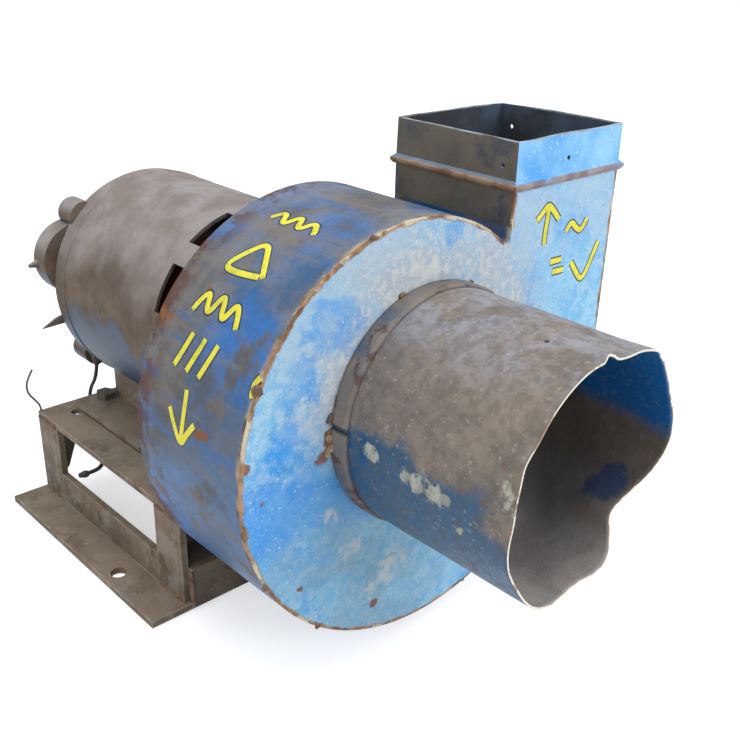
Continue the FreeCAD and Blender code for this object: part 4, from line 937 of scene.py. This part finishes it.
# %% Strokes on the cheek and the wrapper
STROKE_RADIUS = 2.2 * MM
SMEAR_RADIUS = 3.4 * MM
STROKE_THICKNESS = 0.14
SMEAR_THICKNESS = 0.07
STROKE_SINK = 0.08 * MM
SMEAR_SINK = 0.12 * MM
CHEEK_STROKES = [
    [(544, 245), (545, 232), (548, 218), (549, 205)],
    [(537, 221), (543, 213), (549, 204), (554, 211), (559, 219)],
    [(566, 232), (571, 220), (576, 228), (581, 231), (587, 218)],
    [(550, 262), (555, 261), (561, 259)],
    [(552, 272), (557, 271), (563, 269)],
    [(571, 262), (575, 271), (581, 281), (590, 261), (598, 241)],
]
# on the wrapper: degrees along the spiral, and mm from the front plate
WRAPPER_STROKES = [
    [(118, 36), (112, 43), (119, 50), (112, 57), (119, 64), (112, 71), (117, 77)],
    [(135, 40), (130, 48), (125, 57), (130, 66), (136, 75), (136, 57), (135, 43)],
    [(149, 36), (141, 43), (150, 50), (141, 57), (150, 64), (141, 71), (149, 77)],
    [(154, 43), (158, 45), (163, 50)],
    [(154, 55), (158, 57), (163, 62)],
    [(154, 67), (158, 69), (163, 74)],
    [(167, 57), (172, 55), (180, 57)],
    [(174, 45), (177, 51), (181, 57), (177, 64), (173, 70)],
    [(156, 2), (158, 6), (161, 3)],
]
DEGREE_LENGTH = 2.25 * MM


def strokes_mesh(lines, radius):
    """Round strokes along NURBS lines, as a bmesh."""
    data = bpy.data.curves.new("pen", "CURVE")
    data.dimensions = "3D"
    data.bevel_depth = radius
    data.bevel_resolution = 3
    data.use_fill_caps = True
    for line in lines:
        spline = data.splines.new("NURBS")
        spline.points.add(len(line) - 1)
        for point, place in zip(spline.points, line):
            point.co = (*place, 1)
        spline.order_u = 3
        spline.use_endpoint_u = True
    pen = bpy.data.objects.new("pen", data)
    bpy.context.scene.collection.objects.link(pen)
    bpy.context.view_layer.update()
    flat = bpy.data.meshes.new_from_object(pen.evaluated_get(bpy.context.evaluated_depsgraph_get()))
    bpy.data.objects.remove(pen)
    mesh = bmesh.new()
    mesh.from_mesh(flat)
    bmesh.ops.remove_doubles(mesh, verts=mesh.verts, dist=1e-6)
    return mesh


def add_piece(name, mesh, material):
    bmesh.ops.recalc_face_normals(mesh, faces=mesh.faces)
    for face in mesh.faces:
        face.smooth = True
    piece = object_from(name, mesh)
    piece.data.materials.append(material)
    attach(piece, "frame")


def on_the_wrapper(place):
    """A flat drawing's point, rolled on to the spiral."""
    turned = place.x / DEGREE_LENGTH
    radius = SPIRAL_START + SPIRAL_GROWTH * (turned - SPIRAL_START_ANGLE) + place.z
    at = math.radians(turned)
    return Vector((radius * math.cos(at), place.y, radius * math.sin(at) - SPIRAL_DROP))


def on_the_cheek(place):
    return Vector((place.x, -place.z, place.y))


cheek_places = [[seen_on("front_side_plate", pixel) for pixel in line] for line in CHEEK_STROKES]
cheek_lines = [[(place.x, place.z, 0) for place in line] for line in cheek_places]
wrapper_lines = [[(turned * DEGREE_LENGTH, y * MM, 0) for turned, y in line]
                 for line in WRAPPER_STROKES]
yellow = Finish("yellow_pen", screen(222, 214, 44), 0.5)
yellow.coat(yellow.patch(90, 0.56, 0.06, 121.0), screen(190, 182, 60), 0.7, 0.7)
yellow.coat(yellow.patch(400, 0.64, 0.03, 122.0), screen(120, 124, 90), 0.8, 0.6, -0.2)
yellow_finish = yellow.done(900, 0.2)
smear = Finish("wiped_grime", screen(8, 48, 92), 0.5)
smear.coat(smear.patch(60, 0.5, 0.08, 124.0), screen(34, 40, 52), 0.7, 0.8)
smear_finish = smear.done(700, 0.2)
for where, lines, press, slot_name in (
        ("cheek", cheek_lines, on_the_cheek, "casing_paint_front"),
        ("wrapper", wrapper_lines, on_the_wrapper, "casing_paint_wrapper")):
    for kind, radius, thickness, sink, finish in (
            ("strokes", STROKE_RADIUS, STROKE_THICKNESS, STROKE_SINK, yellow_finish),
            ("smears", SMEAR_RADIUS, SMEAR_THICKNESS, SMEAR_SINK, smear_finish)):
        mesh = strokes_mesh(lines, radius)
        for vertex in mesh.verts:
            vertex.co.z = vertex.co.z * thickness - sink
            vertex.co = press(vertex.co)
        add_piece(f"{where}_{kind}", mesh, finish)
print("strokes:", len(cheek_lines) + len(wrapper_lines))

# %% [markdown]
# ## Weld lumps
# The base and the collar are joined with short rough welds, and the casing with tacks. A
# lump is an icosphere, flattened and shaken by noise, and a bead is a row of lumps that
# overlap like scales.

# %% Lumps and beads
def lump(mesh, place, radius, flat=(1, 1, 1)):
    made = bmesh.ops.create_icosphere(mesh, subdivisions=2, radius=radius)["verts"]
    for vertex in made:
        bump = noise.noise((vertex.co + Vector(place)) * 420) * 0.35
        shape = vertex.co * (1 + bump)
        flattened = Vector((shape.x * flat[0], shape.y * flat[1], shape.z * flat[2]))
        vertex.co = flattened + Vector(place)


def bead(mesh, start, end, radius):
    steps = max(2, int((Vector(end) - Vector(start)).length / (radius * 1.1)))
    for step in range(steps + 1):
        lump(mesh, Vector(start).lerp(Vector(end), step / steps), radius)


weld = Finish("weld_rust", screen(96, 70, 52), 0.75)
weld.coat(weld.patch(120, 0.5, 0.08, 131.0), screen(136, 112, 84), 0.85, 0.8)
weld.coat(weld.patch(60, 0.58, 0.05, 132.0), screen(62, 60, 66), 0.6, 0.8)
weld_finish = weld.done(1100, 0.4)

PUTTY_PIXELS = [((329, 437), 3.0), ((331, 446), 3.4), ((327, 452), 2.4)]
COLLAR_FOOT_RADIUS = 76.6 * MM
COLLAR_TACKS = [(62, 2.0), (108, 2.4), (171, 3.2), (178, 3.4), (186, 3.0), (255, 2.2), (300, 2.4)]
tacks = bmesh.new()
for degrees, size in COLLAR_TACKS:
    at = math.radians(degrees)
    lump(tacks, (COLLAR_FOOT_RADIUS * math.cos(at), -0.4 * MM, COLLAR_FOOT_RADIUS * math.sin(at)),
         size * MM, (1.1, 0.6, 1.1))
SEAM_TACKS = [(112, 1.6), (159, 3.0), (212, 1.8), (236, 1.6), (288, 1.6), (318, 1.8)]
for degrees, size in SEAM_TACKS:
    at = math.radians(degrees)
    reach = SPIRAL_START + SPIRAL_GROWTH * (degrees - SPIRAL_START_ANGLE)
    lump(tacks, (reach * math.cos(at), 0.8 * MM, reach * math.sin(at) - SPIRAL_DROP),
         size * MM, (1.2, 0.8, 1.2))
add_piece("casing_tacks", tacks, weld_finish)

base_beads = bmesh.new()
for leg_name in ("front_left_leg", "rear_left_leg", "front_right_leg", "rear_right_leg"):
    leg_low, leg_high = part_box(leg_name)
    outer_x = leg_low.x if "left" in leg_name else leg_high.x
    for height in (leg_low.z, leg_high.z):
        bead(base_beads, (outer_x, leg_low.y + 3 * MM, height),
             (outer_x, leg_high.y - 3 * MM, height), 1.5 * MM)
rail_low, rail_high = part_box("front_cross_rail")
for end_x in (rail_low.x, rail_high.x):
    bead(base_beads, (end_x, rail_low.y, rail_low.z + 6 * MM),
         (end_x, rail_low.y, rail_high.z - 3 * MM), 1.8 * MM)
add_piece("base_welds", base_beads, weld_finish)

putty = bmesh.new()
for pixel, size in PUTTY_PIXELS:
    place = seen_on("front_side_plate", pixel)
    lump(putty, place - Vector((0, size * 0.3 * MM, 0)), size * MM, (1.0, 0.7, 1.3))
filler = Finish("old_putty", screen(176, 160, 132), 0.8)
filler.coat(filler.patch(110, 0.52, 0.08, 135.0), screen(126, 84, 56), 0.9, 0.8)
add_piece("collar_putty", putty, filler.done(900, 0.4))
print("welds laid")
